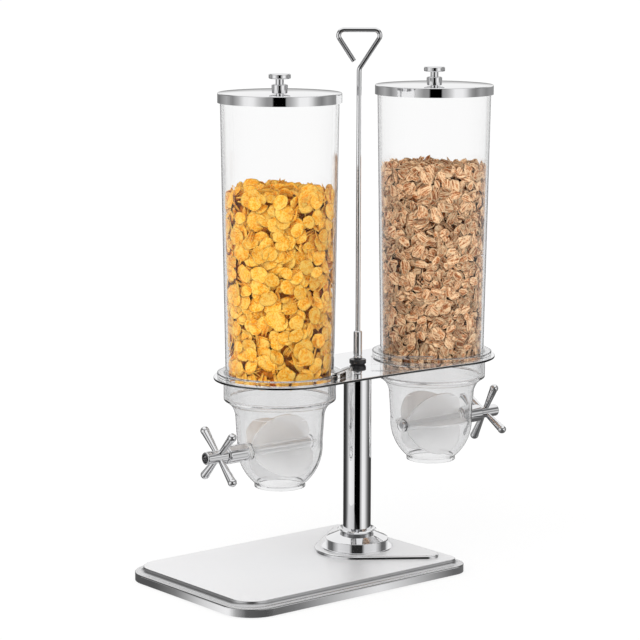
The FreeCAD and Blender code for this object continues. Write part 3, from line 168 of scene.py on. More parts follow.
class FoodSettings(bpy.types.PropertyGroup):
    corn_colour: colour_property("Corn flake", "Colour of a corn flake", (1.0, 0.43, 0.018))
    corn_light: colour_property("Corn light", "Pale patches of a corn flake", (1.0, 0.655, 0.14))
    corn_dark: colour_property("Corn dark", "Toasted patches of a corn flake", (0.80, 0.235, 0.005))
    corn_size: size_property("Corn flake size", "Mean diameter of a corn flake", 0.024)
    corn_tries: count_property("Corn flake tries", "How often a corn flake is tried", 2600)
    wheat_colour: colour_property("Wheat flake", "Colour of a wheat flake", (0.63, 0.215, 0.062))
    wheat_light: colour_property("Wheat light", "Pale rims and ribs", (1.0, 0.71, 0.43))
    wheat_dark: colour_property("Wheat dark", "Bran patches", (0.28, 0.068, 0.011))
    wheat_size: size_property("Wheat flake size", "Mean length of a wheat flake", 0.0185)
    wheat_tries: count_property("Wheat flake tries", "How often a wheat flake is tried", 5200)


class StudioSettings(bpy.types.PropertyGroup):
    lens: number_property("Lens", "Focal length of the camera, in mm", 135.84, min=10.0)
    camera_place: FloatVectorProperty(
        name="Camera", description="Place of the camera", subtype="XYZ", unit="LENGTH",
        default=(-1.92445, -2.27571, 0.79702),
    )
    yaw: number_property("Yaw", "Heading of the camera from +X, in degrees", 50.6918)
    pitch: number_property("Pitch", "How far the camera looks down, in degrees", 9.2424)
    roll: number_property("Roll", "Roll of the camera, in degrees", 0.1405)
    world_light: number_property("World light", "Strength of light from all round", 0.95, min=0.0)
    key_light: number_property("Key light", "Strength of light from one side", 1.3, min=0.0)
    floor_size: number_property("Floor", "Half the side of the floor", 60.0, min=1.0, unit="LENGTH")


SETTINGS = {
    "chrome": ChromeSettings,
    "plastic": PlasticSettings,
    "food": FoodSettings,
    "studio": StudioSettings,
}


# ---------------------------- node helpers


def fresh_material(name, kind="ShaderNodeBsdfPrincipled"):
    """A material with only one shader and its output; returns (material, tree, shader)."""
    material = bpy.data.materials.new(name)
    material.use_nodes = True
    tree = material.node_tree
    tree.nodes.clear()
    output = tree.nodes.new("ShaderNodeOutputMaterial")
    shader = tree.nodes.new(kind)
    tree.links.new(shader.outputs["BSDF"], output.inputs["Surface"])
    return material, tree, shader


def find_node(tree, kind):
    return next(node for node in tree.nodes if node.type == kind)


def feed(tree, socket, content):
    """Links a socket to another one or sets its value; a colour comes without its alpha."""
    if isinstance(content, bpy.types.NodeSocket):
        tree.links.new(content, socket)
    elif socket.type == "RGBA":
        socket.default_value = (*content, 1.0)
    else:
        socket.default_value = content


def feed_all(tree, node, **inputs):
    """Feeds some of a node's inputs. Underscores stand for spaces in their names."""
    for name, content in inputs.items():
        feed(tree, node.inputs[name.replace("_", " ")], content)


def add_node(tree, kind, **inputs):
    node = tree.nodes.new(kind)
    feed_all(tree, node, **inputs)
    return node


def light_path(tree, ray):
    return tree.nodes.new("ShaderNodeLightPath").outputs[ray]


def place_in_piece(tree):
    return tree.nodes.new("ShaderNodeTexCoord").outputs["Object"]


def split(tree, vector):
    """The outputs X, Y and Z of a vector."""
    return add_node(tree, "ShaderNodeSeparateXYZ", Vector=vector).outputs


def noise(tree, size, detail=3.0, stretch=None, place=None):
    """Noise whose features are about size metres, stretched along the axes if asked."""
    place = place or place_in_piece(tree)
    if stretch:
        place = add_node(tree, "ShaderNodeMapping", Vector=place, Scale=stretch).outputs["Vector"]
    texture = add_node(tree, "ShaderNodeTexNoise", Vector=place, Scale=1.0 / size, Detail=detail)
    return texture.outputs["Fac"]


def ramp(tree, factor, stops):
    """A colour ramp. A stop is (position, grey) or (position, (r, g, b))."""
    node = add_node(tree, "ShaderNodeValToRGB", Fac=factor)
    elements = node.color_ramp.elements
    while len(elements) < len(stops):
        elements.new(0.5)
    for element, (position, content) in zip(elements, stops):
        element.position = position
        shade = (content,) * 3 if isinstance(content, (int, float)) else tuple(content)
        element.color = (*shade, 1.0)
    return node.outputs["Color"]


def arithmetic(tree, operation, first, second=0.0, clamp=False):
    node = tree.nodes.new("ShaderNodeMath")
    node.operation = operation
    node.use_clamp = clamp
    feed(tree, node.inputs[0], first)
    feed(tree, node.inputs[1], second)
    return node.outputs["Value"]


def product(tree, first, *others):
    for other in others:
        first = arithmetic(tree, "MULTIPLY", first, other)
    return first


def blend_colours(tree, factor, first, second, kind="MIX"):
    node = tree.nodes.new("ShaderNodeMix")
    node.data_type = "RGBA"
    node.blend_type = kind
    # a Mix node has inputs for each type of data: these are its factor and its two colours
    for number, content in ((0, factor), (6, first), (7, second)):
        feed(tree, node.inputs[number], content)
    return node.outputs[2]


def scaled(colour, factor):
    """A brighter or darker colour, white at most."""
    return tuple(min(1.0, channel * factor) for channel in colour)


def mix_shaders(tree, factor, first, second):
    mixer = add_node(tree, "ShaderNodeMixShader", Fac=factor)
    tree.links.new(first.outputs[0], mixer.inputs[1])
    tree.links.new(second.outputs[0], mixer.inputs[2])
    return mixer


def show(tree, shader, kind="OUTPUT_MATERIAL"):
    """Links a shader to the output."""
    tree.links.new(shader.outputs[0], find_node(tree, kind).inputs["Surface"])


def bump(tree, shader, height, strength, distance):
    node = add_node(tree, "ShaderNodeBump", Height=height, Strength=strength, Distance=distance)
    tree.links.new(node.outputs["Normal"], shader.inputs["Normal"])


def wear(material, *names):
    """Puts a material on CAD nodes."""
    for name in names:
        for slot in NODES[name].material_slots:
            slot.material = material


def both(*names):
    return [f"{name}_{side}" for side in SIDES for name in names]


# ---------------------------- metals


def chrome_finish(name, colour, roughness, wipe_scale, grain=None):
    """Chrome with faint wipe marks in its roughness and, if asked, a fine turned grain."""
    material, tree, shader = fresh_material(name)
    marks = noise(tree, wipe_scale, detail=5.0)
    spread = ramp(tree, marks, [(0.35, roughness * 0.7), (0.62, roughness), (0.8, roughness * 1.9)])
    tone = blend_colours(tree, marks, colour, scaled(colour, 0.965))
    feed_all(tree, shader, Metallic=1.0, Roughness=spread, Base_Color=tone)
    if grain:
        ripple = noise(tree, grain, detail=2.0, stretch=(1.0, 1.0, 0.05))
        bump(tree, shader, ripple, 0.05, 0.00005)
    return material


def rise_of_normal(tree):
    """How far the surface of a piece faces up: 1 for level, 0 for upright."""
    return split(tree, tree.nodes.new("ShaderNodeTexCoord").outputs["Normal"])["Z"]


def pressed_finish(colour, roughness, wipe_scale, satin):
    """Pressed base: satin where level, painted shade on its moulding, sides that seem to bow out.
    """
    material = chrome_finish("pressed_chrome", colour, roughness, wipe_scale)
    tree = material.node_tree
    shader = find_node(tree, "BSDF_PRINCIPLED")
    polished = shader.inputs["Roughness"].links[0].from_socket
    tone = shader.inputs["Base Color"].links[0].from_socket
    rise = rise_of_normal(tree)
    mirrored = light_path(tree, "Is Glossy Ray")
    place = split(tree, place_in_piece(tree))
    low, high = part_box("base_shell")
    height = arithmetic(tree, "SUBTRACT", place["Z"], low.z)
    # painted shade: the colour darkens by height, most on the band's edge and in the cove
    painted_shade = ramp(tree, product(tree, height, 1.0 / PAINTED_SHADE_RANGE), PAINTED_SHADE_STOPS)
    shaded = blend_colours(tree, painted_shade, tone, (0.0, 0.0, 0.0))
    cove = product(
        tree,
        arithmetic(tree, "GREATER_THAN", height, COVE_FOOT),
        arithmetic(tree, "LESS_THAN", height, COVE_TOP),
        ramp(tree, rise, [(0.9, 1.0), (0.985, 0.0)]),
    )
    # level faces are satin, which a mirror beside them shows as polished
    level = ramp(tree, rise, [(0.96, 0.0), (0.995, 1.0)])
    dull = blend_colours(tree, level, polished, (satin,) * 3)
    dull = blend_colours(tree, cove, dull, (0.3,) * 3)
    dull = blend_colours(tree, mirrored, dull, (0.03,) * 3)
    metal = arithmetic(tree, "MAXIMUM", ramp(tree, rise, [(0.96, 1.0), (0.995, 0.35)]), mirrored)
    feed_all(tree, shader, Base_Color=shaded, Roughness=dull, Metallic=metal)
    # the normals of the upright band turn as if its sides bowed out from end to end
    along = arithmetic(tree, "SUBTRACT", place["X"], (low.x + high.x) / 2)
    squares = [arithmetic(tree, "POWER", reach, 2.0) for reach in (along, place["Y"])]
    reach = arithmetic(tree, "ADD", *squares)
    upright = arithmetic(tree, "LESS_THAN", height, BAND_HEIGHT)
    bump(tree, shader, product(tree, reach, -BOW, upright), 1.0, 1.0)
    return material


def cut_edge_finish(name, colour, roughness, wipe_scale):
    """Polished sheet whose edges, where its faces turn upright, are dark."""
    material = chrome_finish(name, colour, roughness, wipe_scale)
    tree = material.node_tree
    shader = find_node(tree, "BSDF_PRINCIPLED")
    tone = shader.inputs["Base Color"].links[0].from_socket
    flat = ramp(tree, arithmetic(tree, "ABSOLUTE", rise_of_normal(tree)), [(0.3, 0.0), (0.7, 1.0)])
    feed_all(tree, shader, Base_Color=blend_colours(tree, flat, (0.1, 0.1, 0.1), tone))
    return material


def steel_finish(colour):
    """Plain turned or rolled steel, dull with a fine grain."""
    material, tree, shader = fresh_material("plain_steel")
    grain = noise(tree, 0.0006, detail=2.0, stretch=(0.15, 1.0, 1.0))
    tone = blend_colours(tree, noise(tree, 0.02), colour, scaled(colour, 0.8))
    rough = ramp(tree, grain, [(0.3, 0.3), (0.7, 0.45)])
    feed_all(tree, shader, Metallic=1.0, Roughness=rough, Base_Color=tone)
    bump(tree, shader, grain, 0.15, 0.00004)
    return material


class DISPENSER_OT_metals(bpy.types.Operator):
    """Chrome, polished plate and plain steel"""

    bl_idname = "dispenser.metals"
    bl_label = "Finish the metals"

    def execute(self, context):
        settings = context.scene.dispenser_chrome
        colour, rough, wipe = tuple(settings.colour), settings.roughness, settings.wipe_scale
        wear(pressed_finish(colour, rough * 1.6, wipe * 1.5, settings.satin), "base_shell")
        bright = chrome_finish("bright_chrome", colour, rough, wipe, grain=0.004)
        wear(bright, "column_foot", "column_tube", "handle_rod", "handle_neck", "handle_ferrule")
        wear(bright, *both("cross_knob", "knob_sleeve", "lid_knob"))
        wear(chrome_finish("lid_chrome", colour, rough * 1.2, wipe), *both("lid"))
        plate = tuple(settings.plate_colour)
        wear(cut_edge_finish("polished_plate", plate, rough * 1.1, wipe), "support_plate")
        steel = steel_finish(tuple(settings.steel_colour))
        wear(steel, "weight_plate", "cover_screws", "clamp_disc", "column_bolt", "column_washer")
        wear(steel, "column_plug", "column_spindle")
        wear(steel, *both("wheel_shaft", "knob_screw", "lid_screw"))
        return {"FINISHED"}


# ---------------------------- plastics


def clear_finish(name, tint, edge, stops, gloss, roughness=0.0, clearer_above=None):
    """Clear moulded plastic in painted shade where it is seen along its wall; lamps pass through.
    """
    material, tree, shader = fresh_material(name)
    # painted shade: the tint turns to the edge tint where the wall is seen edge on, for dark
    # surroundings
    along = ramp(tree, add_node(tree, "ShaderNodeLayerWeight", Blend=0.5).outputs["Facing"], stops)
    if clearer_above:
        height = split(tree, place_in_piece(tree))["Z"]
        above = arithmetic(tree, "GREATER_THAN", height, clearer_above)
        tint = blend_colours(tree, above, tint, CLEAR)
    haze = ramp(tree, noise(tree, 0.012, detail=4.0), [(0.4, roughness), (0.75, roughness + 0.006)])
    feed_all(
        tree, shader, Transmission_Weight=1.0, IOR=1.49, Specular_Tint=(gloss,) * 3,
        Base_Color=blend_colours(tree, along, tint, edge), Roughness=haze,
    )
    passing = add_node(tree, "ShaderNodeBsdfTransparent", Color=CLEAR)
    for ray in ("Is Diffuse Ray", "Is Shadow Ray"):
        shader = mix_shaders(tree, light_path(tree, ray), shader, passing)
    show(tree, shader)
    return material


def silicone_finish(colour, clearness):
    """Pale milky silicone with a soft moulded surface that lets some light straight through."""
    material, tree, shader = fresh_material("milky_silicone")
    tone = blend_colours(tree, noise(tree, 0.025), colour, scaled(colour, 1.12))
    feed_all(tree, shader, Base_Color=tone, Roughness=0.45)
    bump(tree, shader, noise(tree, 0.0012, detail=2.0), 0.1, 0.00005)
    passing = tree.nodes.new("ShaderNodeBsdfTransparent")
    show(tree, mix_shaders(tree, clearness, shader, passing))
    return material


def moulded_finish(name, colour, roughness, grain, strength):
    """Opaque moulded plastic or rubber with a fine spark-eroded grain."""
    material, tree, shader = fresh_material(name)
    texture = noise(tree, grain)
    tone = blend_colours(tree, texture, colour, scaled(colour, 1.3))
    rough = ramp(tree, texture, [(0.3, roughness * 0.9), (0.7, min(1.0, roughness * 1.15))])
    feed_all(tree, shader, Base_Color=tone, Roughness=rough)
    bump(tree, shader, texture, strength, 0.0001)
    return material


def rested_bowl(side, material):
    """A clear bowl with a breath of air under its flange, so that light passes to the plate."""
    node = NODES[f"bowl_{side}"]
    plate_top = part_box("support_plate")[1].z
    mesh = node.data.copy()
    mesh.name = f"rested_bowl_{side}"
    for corner in mesh.vertices:
        if abs((node.matrix_world @ corner.co).z - plate_top) < PLATE_REACH:
            corner.co.z += FLANGE_AIR
    mesh.materials.clear()
    mesh.materials.append(material)
    piece = bpy.data.objects.new(f"rested_bowl_{side}", mesh)
    piece.matrix_world = node.matrix_world.copy()
    bpy.context.scene.collection.objects.link(piece)
    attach(piece, "turntable")
    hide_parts(f"bowl_{side}")


class DISPENSER_OT_plastics(bpy.types.Operator):
    """Clear tubes and bowls, silicone wheels, and the black and white mouldings"""

    bl_idname = "dispenser.plastics"
    bl_label = "Finish the plastics"

    def execute(self, context):
        settings = context.scene.dispenser_plastic
        edge = tuple(settings.edge_shade_tint)
        tube = clear_finish("clear_tube", tuple(settings.tube_tint), edge, TUBE_EDGE_SHADE, gloss=0.1)
        wear(tube, *both("storage_tube"))
        bowl = clear_finish(
            "clear_bowl", tuple(settings.bowl_tint), edge, BOWL_EDGE_SHADE, gloss=0.6, roughness=0.01,
            clearer_above=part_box("support_plate")[1].z - MM,
        )
        wear(bowl, *both("bowl"))
        for side in SIDES:
            rested_bowl(side, bowl)
        silicone = silicone_finish(tuple(settings.silicone), settings.clearness)
        wear(silicone, *both("portion_wheel", "tube_gasket"))
        black = moulded_finish("black_moulding", tuple(settings.black), 0.28, 0.0008, 0.2)
        wear(black, "bottom_cover", "clamp_nut")
        white = moulded_finish("white_moulding", tuple(settings.white), 0.4, 0.001, 0.12)
        wear(white, "thrust_washer", *both("shaft_bush", "lid_liner"))
        wear(moulded_finish("pad_rubber", tuple(settings.rubber), 0.8, 0.0015, 0.5), "base_pad")
        return {"FINISHED"}


# ---------------------------- packing of flakes


class Container:
    """The inside of a tube between two heights, in mm about its own axis."""

    def __init__(self, side):
        food_low, food_high = (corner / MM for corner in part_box(f"cereal_{side}"))
        tube_low, tube_high = (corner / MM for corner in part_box(f"storage_tube_{side}"))
        self.axis_x = (tube_low.x + tube_high.x) / 2
        self.bottom, self.top = food_low.z, food_high.z
        self.tube_top = tube_high.z
        self.wide = (tube_high.x - tube_low.x) / 2 - TUBE_WALL
        self.slope = TUBE_FLARE / (tube_high.z - tube_low.z)

    def radius(self, height):
        """Free radius inside the tube at a height."""
        return self.wide - self.slope * (self.tube_top - height)


def frame_about(normal, turn):
    """Two unit vectors square to the normal, turned about it."""
    helper = np.array([0, 0, 1.0]) if abs(normal[2]) < 0.9 else np.array([1.0, 0, 0])
    first = np.cross(helper, normal)
    first /= np.linalg.norm(first)
    second = np.cross(normal, first)
    return (
        first * math.cos(turn) + second * math.sin(turn),
        -first * math.sin(turn) + second * math.cos(turn),
    )


class Heap:
    """Flat flakes that are placed one by one so that none runs through another."""

    def __init__(self, thickness):
        self.thickness = thickness
        self.centres = np.zeros((0, 3))
        self.normals = np.zeros((0, 3))
        self.firsts = np.zeros((0, 3))
        self.seconds = np.zeros((0, 3))
        self.halves = np.zeros((0, 2))
        angles = np.arange(PROBES) * math.tau / PROBES
        rim = np.stack([np.cos(angles), np.sin(angles)], 1)
        self.probes = np.concatenate([rim, rim[::2] * 0.55, [[0.0, 0.0]]])

    def points(self, centre, first, second, halves):
        spread = self.probes * halves
        return centre + spread[:, :1] * first + spread[:, 1:] * second

    def clashes(self, centre, normal, first, second, halves, allowed):
        """True if more than the allowed probes of two flakes run through each other."""
        reach = halves.max() + self.halves.max(axis=1, initial=0.0)
        offset = centre - self.centres
        near = np.nonzero((offset**2).sum(1) < reach**2)[0]
        if not len(near):
            return False
        mine = self.points(centre, first, second, halves)
        relative = mine[None] - self.centres[near][:, None]
        rise = np.abs((relative * self.normals[near][:, None]).sum(2))
        u = (relative * self.firsts[near][:, None]).sum(2) / self.halves[near][:, :1]
        v = (relative * self.seconds[near][:, None]).sum(2) / self.halves[near][:, 1:]
        inside = (rise < self.thickness) & (u**2 + v**2 < OUTLINE)
        if inside.sum() > allowed:
            return True
        spread = self.probes[None] * self.halves[near][:, None]
        theirs = (
            self.centres[near][:, None]
            + spread[:, :, :1] * self.firsts[near][:, None]
            + spread[:, :, 1:] * self.seconds[near][:, None]
        )
        back = theirs - centre
        rise = np.abs(back @ normal)
        u, v = back @ first / halves[0], back @ second / halves[1]
        return ((rise < self.thickness) & (u**2 + v**2 < OUTLINE)).sum() > allowed

    def add(self, centre, normal, first, second, halves):
        self.centres = np.vstack([self.centres, centre])
        self.normals = np.vstack([self.normals, normal])
        self.firsts = np.vstack([self.firsts, first])
        self.seconds = np.vstack([self.seconds, second])
        self.halves = np.vstack([self.halves, halves])


def tilted(axis, angle, heading):
    """The axis leaned over by an angle towards a heading."""
    first, second = frame_about(axis, heading)
    lean = axis * math.cos(angle) + first * math.sin(angle)
    return lean / np.linalg.norm(lean)


class Packer:
    """Places flakes against the wall, under the top and over the bottom of a container.

    Each flake starts as far out as the wall or the top lets it, and is moved inward in small
    steps until it is clear of those already there.
    """

    def __init__(self, container, length, width_share, thickness, seed):
        self.container = container
        self.length = length
        self.width_share = width_share
        self.draw = np.random.RandomState(seed)
        self.heap = Heap(thickness)
        self.mound = self.draw.uniform(0, math.tau, 4)

    def settle(self, kind, centre, normal, turn, halves, allowed, travel):
        """Moves one flake inward until it is clear and adds it; drops it if it never is."""
        container, heap = self.container, self.heap
        first, second = frame_about(normal, turn)
        upright = {"top": np.array([0, 0, -1.0]), "bottom": np.array([0, 0, 1.0])}
        for _ in range(max(1, int(travel / STEP_INWARD)) + 1):
            points = heap.points(centre, first, second, halves)
            out = np.hypot(points[:, 0], points[:, 1]) - container.radius(points[:, 2]) - WALL_SLACK
            flat = np.array([centre[0], centre[1], 0.0]) / (np.hypot(centre[0], centre[1]) + 1e-9)
            if out.max() > 0:
                centre = centre - flat * (out.max() + 1e-3)
                points = heap.points(centre, first, second, halves)
            low, high = points[:, 2].min(), points[:, 2].max()
            fits = low > container.bottom - 0.5 and high < container.top + halves[0] * 0.75
            if fits and not heap.clashes(centre, normal, first, second, halves, allowed):
                heap.add(centre, normal, first, second, halves)
                return
            centre = centre + upright.get(kind, -flat) * STEP_INWARD

    def start(self, kind, half, share):
        """A place on the wall, the top or the bottom, and the direction that faces outward."""
        container, draw = self.container, self.draw
        around = draw.uniform(0, math.tau)
        if kind == "wall":
            room = container.top - container.bottom - half * 1.1
            height = container.bottom + half * 0.75 + share * room
            outward = np.array([math.cos(around), math.sin(around), 0.0])
            place = outward * container.radius(height)
            place[2] = height
            return place, outward
        reach = math.sqrt(draw.uniform()) * (container.radius(container.top) - half * 0.8)
        x, y = math.cos(around) * reach, math.sin(around) * reach
        if kind == "bottom":
            return np.array([x, y, container.bottom + 1.0]), np.array([0, 0, -1.0])
        # the top is a low mound
        swell = math.sin(x * 0.045 + self.mound[0]) + math.sin(y * 0.05 + self.mound[1])
        return np.array([x, y, container.top - 3.0 + 1.6 * swell]), np.array([0, 0, 1.0])

    def scatter(self, tries, scale, steep_share, allowed, travel, deeper):
        """Tries flakes one by one; steep ones come as small stacks of parallel flakes."""
        draw = self.draw
        for number in range(tries):
            half = self.length / 2 * scale * draw.uniform(*LENGTHS)
            halves = np.array([half, half * self.width_share * draw.uniform(*WIDTHS)])
            dice = draw.uniform()
            kind = "top" if dice < TOP_DRAW else "bottom" if dice < BOTTOM_DRAW else "wall"
            share = (number * EVEN_STEP + draw.uniform(0, 0.02)) % 1.0
            centre, outward = self.start(kind, half, share)
            centre = centre - outward * draw.uniform(0, deeper + 1e-6)
            steep = draw.uniform() < steep_share
            lean = draw.uniform(*STEEP_LEANS) if steep else abs(draw.normal(0, FLAT_LEAN))
            turn, heading = draw.uniform(0, math.tau, 2)
            normal = tilted(outward, min(lean, MOST_LEAN[kind]), heading)
            for layer in range(draw.randint(*STACK) if steep else 1):
                leaned = normal + draw.normal(0, 0.05, 3)
                leaned /= np.linalg.norm(leaned)
                place = centre + leaned * layer * self.heap.thickness * draw.uniform(1.15, 1.9)
                shrink = draw.uniform(0.85, 1.0) if layer else 1.0
                self.settle(kind, place, leaned, turn + layer, halves * shrink, allowed, travel)


def filled(side, length, width_share, thickness, seed, tries, passes):
    """Packs one tube with flakes; returns its container and their heap."""
    container = Container(side)
    packer = Packer(container, length / MM, width_share, thickness, seed)
    for divisor, *how in passes:
        packer.scatter(tries // divisor, *how)
    return container, packer.heap


# ---------------------------- flake meshes


def disc_grid(segments):
    """Points (u, v, side) and faces of a closed thin disc, whose two sides share their rim."""
    turns = [math.tau * step / segments for step in range(segments)]
    circle = [(math.cos(turn), math.sin(turn)) for turn in turns]
    points = [(0.0, 0.0, 1.0)]
    points += [(ring * x, ring * y, 1.0) for ring in FLAKE_RINGS for x, y in circle]
    top = len(points)
    points.append((0.0, 0.0, -1.0))
    points += [(ring * x, ring * y, -1.0) for ring in FLAKE_RINGS[:-1] for x, y in circle]
    faces = []

    def ring_index(side, ring, step):
        step %= segments
        if side < 0 and ring < len(FLAKE_RINGS) - 1:
            return top + 1 + ring * segments + step
        return 1 + ring * segments + step

    for side, hub in ((1, 0), (-1, top)):
        for step in range(segments):
            fan = (hub, ring_index(side, 0, step), ring_index(side, 0, step + 1))
            faces.append(fan if side > 0 else fan[::-1])
            for ring in range(len(FLAKE_RINGS) - 1):
                corners = ((ring, step), (ring + 1, step), (ring + 1, step + 1), (ring, step + 1))
                quad = tuple(ring_index(side, *corner) for corner in corners)
                faces.append(quad if side > 0 else quad[::-1])
    return np.array(points), faces


def corn_shape(grid, halves, draw, thickness):
    """A round, slightly cupped flake with an uneven rim: points along its own axes."""
    u, v, side = grid.T
    reach = np.hypot(u, v)
    angle = np.arctan2(v, u)
    phases = draw.uniform(0, math.tau, 4)
    uneven = 1.0 + 0.05 * np.cos(2 * angle + phases[0]) + 0.045 * np.cos(3 * angle + phases[1])
    uneven += 0.04 * np.cos(5 * angle + phases[2]) + draw.normal(0, 0.018, len(u)) * (reach > 0.99)
    x, y = u * halves[0] * uneven, v * halves[1] * uneven
    cup = draw.uniform(-0.22, 0.22) * halves[0]
    saddle = draw.uniform(-0.1, 0.1) * halves[0]
    crease = draw.uniform(-0.08, 0.08) * halves[0] * np.sin(2.2 * (u + v * 0.4) + phases[3])
    rise = cup * (0.45 - reach**2) + saddle * (u**2 - v**2) + crease
    half = thickness / 2 * np.where(reach > 0.99, 0.0, 1.0 - 0.35 * reach**2)
    blisters = draw.normal(0, thickness * 0.16, len(u))
    return np.stack([x, y, rise + side * half + blisters], 1)


def wheat_shape(grid, halves, draw, thickness):
    """A long flake that is rolled about its length and a little twisted."""
    u, v, side = grid.T
    reach = np.hypot(u, v)
    angle = np.arctan2(v, u)
    phases = draw.uniform(0, math.tau, 3)
    ragged = 1.0 + 0.06 * np.cos(3 * angle + phases[0]) + 0.05 * np.cos(5 * angle + phases[1])
    ragged += draw.normal(0, 0.025, len(u)) * (reach > 0.9)
    x, y = u * halves[0] * ragged, v * halves[1] * ragged
    roll = draw.uniform(0.15, 0.8) / halves[1] * draw.choice([-1.0, 1.0])
    bent_y = np.sin(roll * y) / roll
    rise = (1.0 - np.cos(roll * y)) / roll
    arch = draw.uniform(-0.25, 0.25) / halves[0]
    rise = rise + arch * x**2
    twist = draw.uniform(-0.6, 0.6) / halves[0] * x
    half = thickness / 2 * np.where(reach > 0.99, 0.0, 1.0 - 0.3 * reach**2)
    height = rise + side * half + draw.normal(0, thickness * 0.16, len(u)) * (reach < 0.99)
    height -= rise.mean()
    y = bent_y * np.cos(twist) - height * np.sin(twist)
    z = bent_y * np.sin(twist) + height * np.cos(twist)
    return np.stack([x, y, z], 1)


def core_mesh(container, inset, seed):
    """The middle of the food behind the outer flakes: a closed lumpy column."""
    draw = np.random.RandomState(seed)
    segments, rows = 40, 26
    bottom, top = container.bottom + inset * 0.6, container.top - inset * 0.75
    points, faces = [], []
    for row in range(rows + 1):
        height = bottom + (top - bottom) * row / rows
        for step in range(segments):
            angle = math.tau * step / segments
            reach = container.radius(height) - inset + draw.uniform(-1.2, 1.2)
            points.append((reach * math.cos(angle), reach * math.sin(angle), height))
    for row in range(rows):
        for step in range(segments):
            following = (step + 1) % segments
            low, high = row * segments, (row + 1) * segments
            faces.append((low + step, low + following, high + following, high + step))
    points += [(0.0, 0.0, bottom), (0.0, 0.0, top + 1.0)]
    for step in range(segments):
        following = (step + 1) % segments
        faces.append((len(points) - 2, following, step))
        high = rows * segments
        faces.append((len(points) - 1, high + step, high + following))
    return np.array(points), faces


def flake_piece(name, container, heap, chosen, shape, seed, segments, core=None):
    """One mesh of many flakes, with a tone, its own coordinates and its rim as attributes."""
    draw = np.random.RandomState(seed)
    grid, grid_faces = disc_grid(segments)
    count = len(grid)
    points, faces, tones, spans, rims = [], [], [], [], []
    reach = np.hypot(grid[:, 0], grid[:, 1])
    for order, index in enumerate(chosen):
        own = shape(grid, heap.halves[index], draw, heap.thickness)
        world = (
            heap.centres[index]
            + own[:, :1] * heap.firsts[index]
            + own[:, 1:2] * heap.seconds[index]
            + own[:, 2:] * heap.normals[index]
        )
        flat = np.hypot(world[:, 0], world[:, 1])
        limit = container.radius(world[:, 2]) - WALL_AIR
        world[:, :2] *= np.minimum(1.0, limit / np.maximum(flat, 1e-6))[:, None]
        points.append(world)
        faces += [tuple(corner + order * count for corner in face) for face in grid_faces]
        tones.append(np.full(count, draw.uniform()))
        rims.append(reach)
        spans.append(np.stack([own[:, 0], own[:, 1], np.full(count, draw.uniform(0, 1000))], 1))
    if core is not None:
        start = sum(len(block) for block in points)
        points.append(core[0])
        faces += [tuple(corner + start for corner in face) for face in core[1]]
        tones.append(np.full(len(core[0]), -1.0))
        rims.append(np.zeros(len(core[0])))
        spans.append(core[0])
    stacked = np.concatenate(points) * MM
    stacked[:, 0] += container.axis_x * MM
    mesh = bpy.data.meshes.new(name)
    mesh.from_pydata(stacked.tolist(), [], faces)
    mesh.polygons.foreach_set("use_smooth", [True] * len(mesh.polygons))
    for title, kind, field, content in (
        ("tone", "FLOAT", "value", np.concatenate(tones)),
        ("rim", "FLOAT", "value", np.concatenate(rims)),
        ("span", "FLOAT_VECTOR", "vector", np.concatenate(spans) * MM),
    ):
        values = mesh.attributes.new(title, kind, "POINT").data
        values.foreach_set(field, content.astype(np.float32).ravel())
    mesh.validate()
    piece = bpy.data.objects.new(name, mesh)
    bpy.context.scene.collection.objects.link(piece)
    return piece


def attribute(tree, name, output="Fac"):
    node = tree.nodes.new("ShaderNodeAttribute")
    node.attribute_name = name
    return node.outputs[output]


def flake_material(name, colours, core_shade_colour, grain, ribs, darkest, fade):
    """Toasted flake: patches, grain and rim in its own coordinates, one tone for each flake."""
    plain, light, dark = (tuple(colour) for colour in colours)
    material, tree, shader = fresh_material(name)
    place = attribute(tree, "span", "Vector")
    tone, rim = attribute(tree, "tone"), attribute(tree, "rim")
    patches = noise(tree, grain * 4, detail=4.0, place=place)
    specks = noise(tree, grain, detail=2.0, place=place)
    layers = [
        (patches, (0.42, 0.0), (0.6, 0.8), light),
        (patches, (0.3, 0.6), (0.44, 0.0), dark),
        (specks, (0.5, 0.0), (0.62, 0.75), light),
        (specks, (0.36, 0.5), (0.46, 0.0), dark),
    ]
    height = specks
    if ribs:
        lines = noise(tree, ribs, detail=1.5, stretch=(0.15, 1.0, 0.05), place=place)
        layers += [
            (lines, (0.52, 0.0), (0.6, 0.9), light),
            (lines, (0.36, 0.85), (0.46, 0.0), dark),
            (rim, (0.8, 0.0), (1.0, 0.9), light),
        ]
        height = arithmetic(tree, "ADD", product(tree, lines, 2.0), specks)
    else:
        # corn flakes get a paler rim: painted highlight on their edges
        layers.append((rim, (0.85, 0.0), (1.0, 0.35), light))
    colour = plain
    for pattern, first, last, tint in layers:
        colour = blend_colours(tree, ramp(tree, pattern, [first, last]), colour, tint)
    shade = ramp(tree, tone, [(0.0, darkest), (0.6, 1.0), (1.0, 1.0)])
    colour = blend_colours(tree, 1.0, colour, shade, kind="MULTIPLY")
    # the core, in painted shade, looks like more flakes, one to each cell: lit middles, dark gaps
    core = arithmetic(tree, "LESS_THAN", tone, -0.5)
    cells = add_node(tree, "ShaderNodeTexVoronoi", Vector=place, Scale=1.0 / (grain * 6))
    buried_shade = ramp(
        tree, cells.outputs["Distance"],
        [(0.0, scaled(core_shade_colour, 1.9)), (0.45, core_shade_colour), (0.6, scaled(core_shade_colour, 0.35))],
    )
    colour = blend_colours(tree, core, colour, buried_shade)
    # mirrors show the food paler than it is
    mirrors = light_path(tree, "Glossy Depth")
    faded = arithmetic(tree, "MULTIPLY", mirrors, fade, clamp=True)
    colour = blend_colours(tree, faded, colour, (0.95, 0.94, 0.93))
    feed_all(tree, shader, Base_Color=colour, Roughness=0.6, Specular_IOR_Level=0.2)
    bump(tree, shader, height, 0.8, 0.0007)
    return material


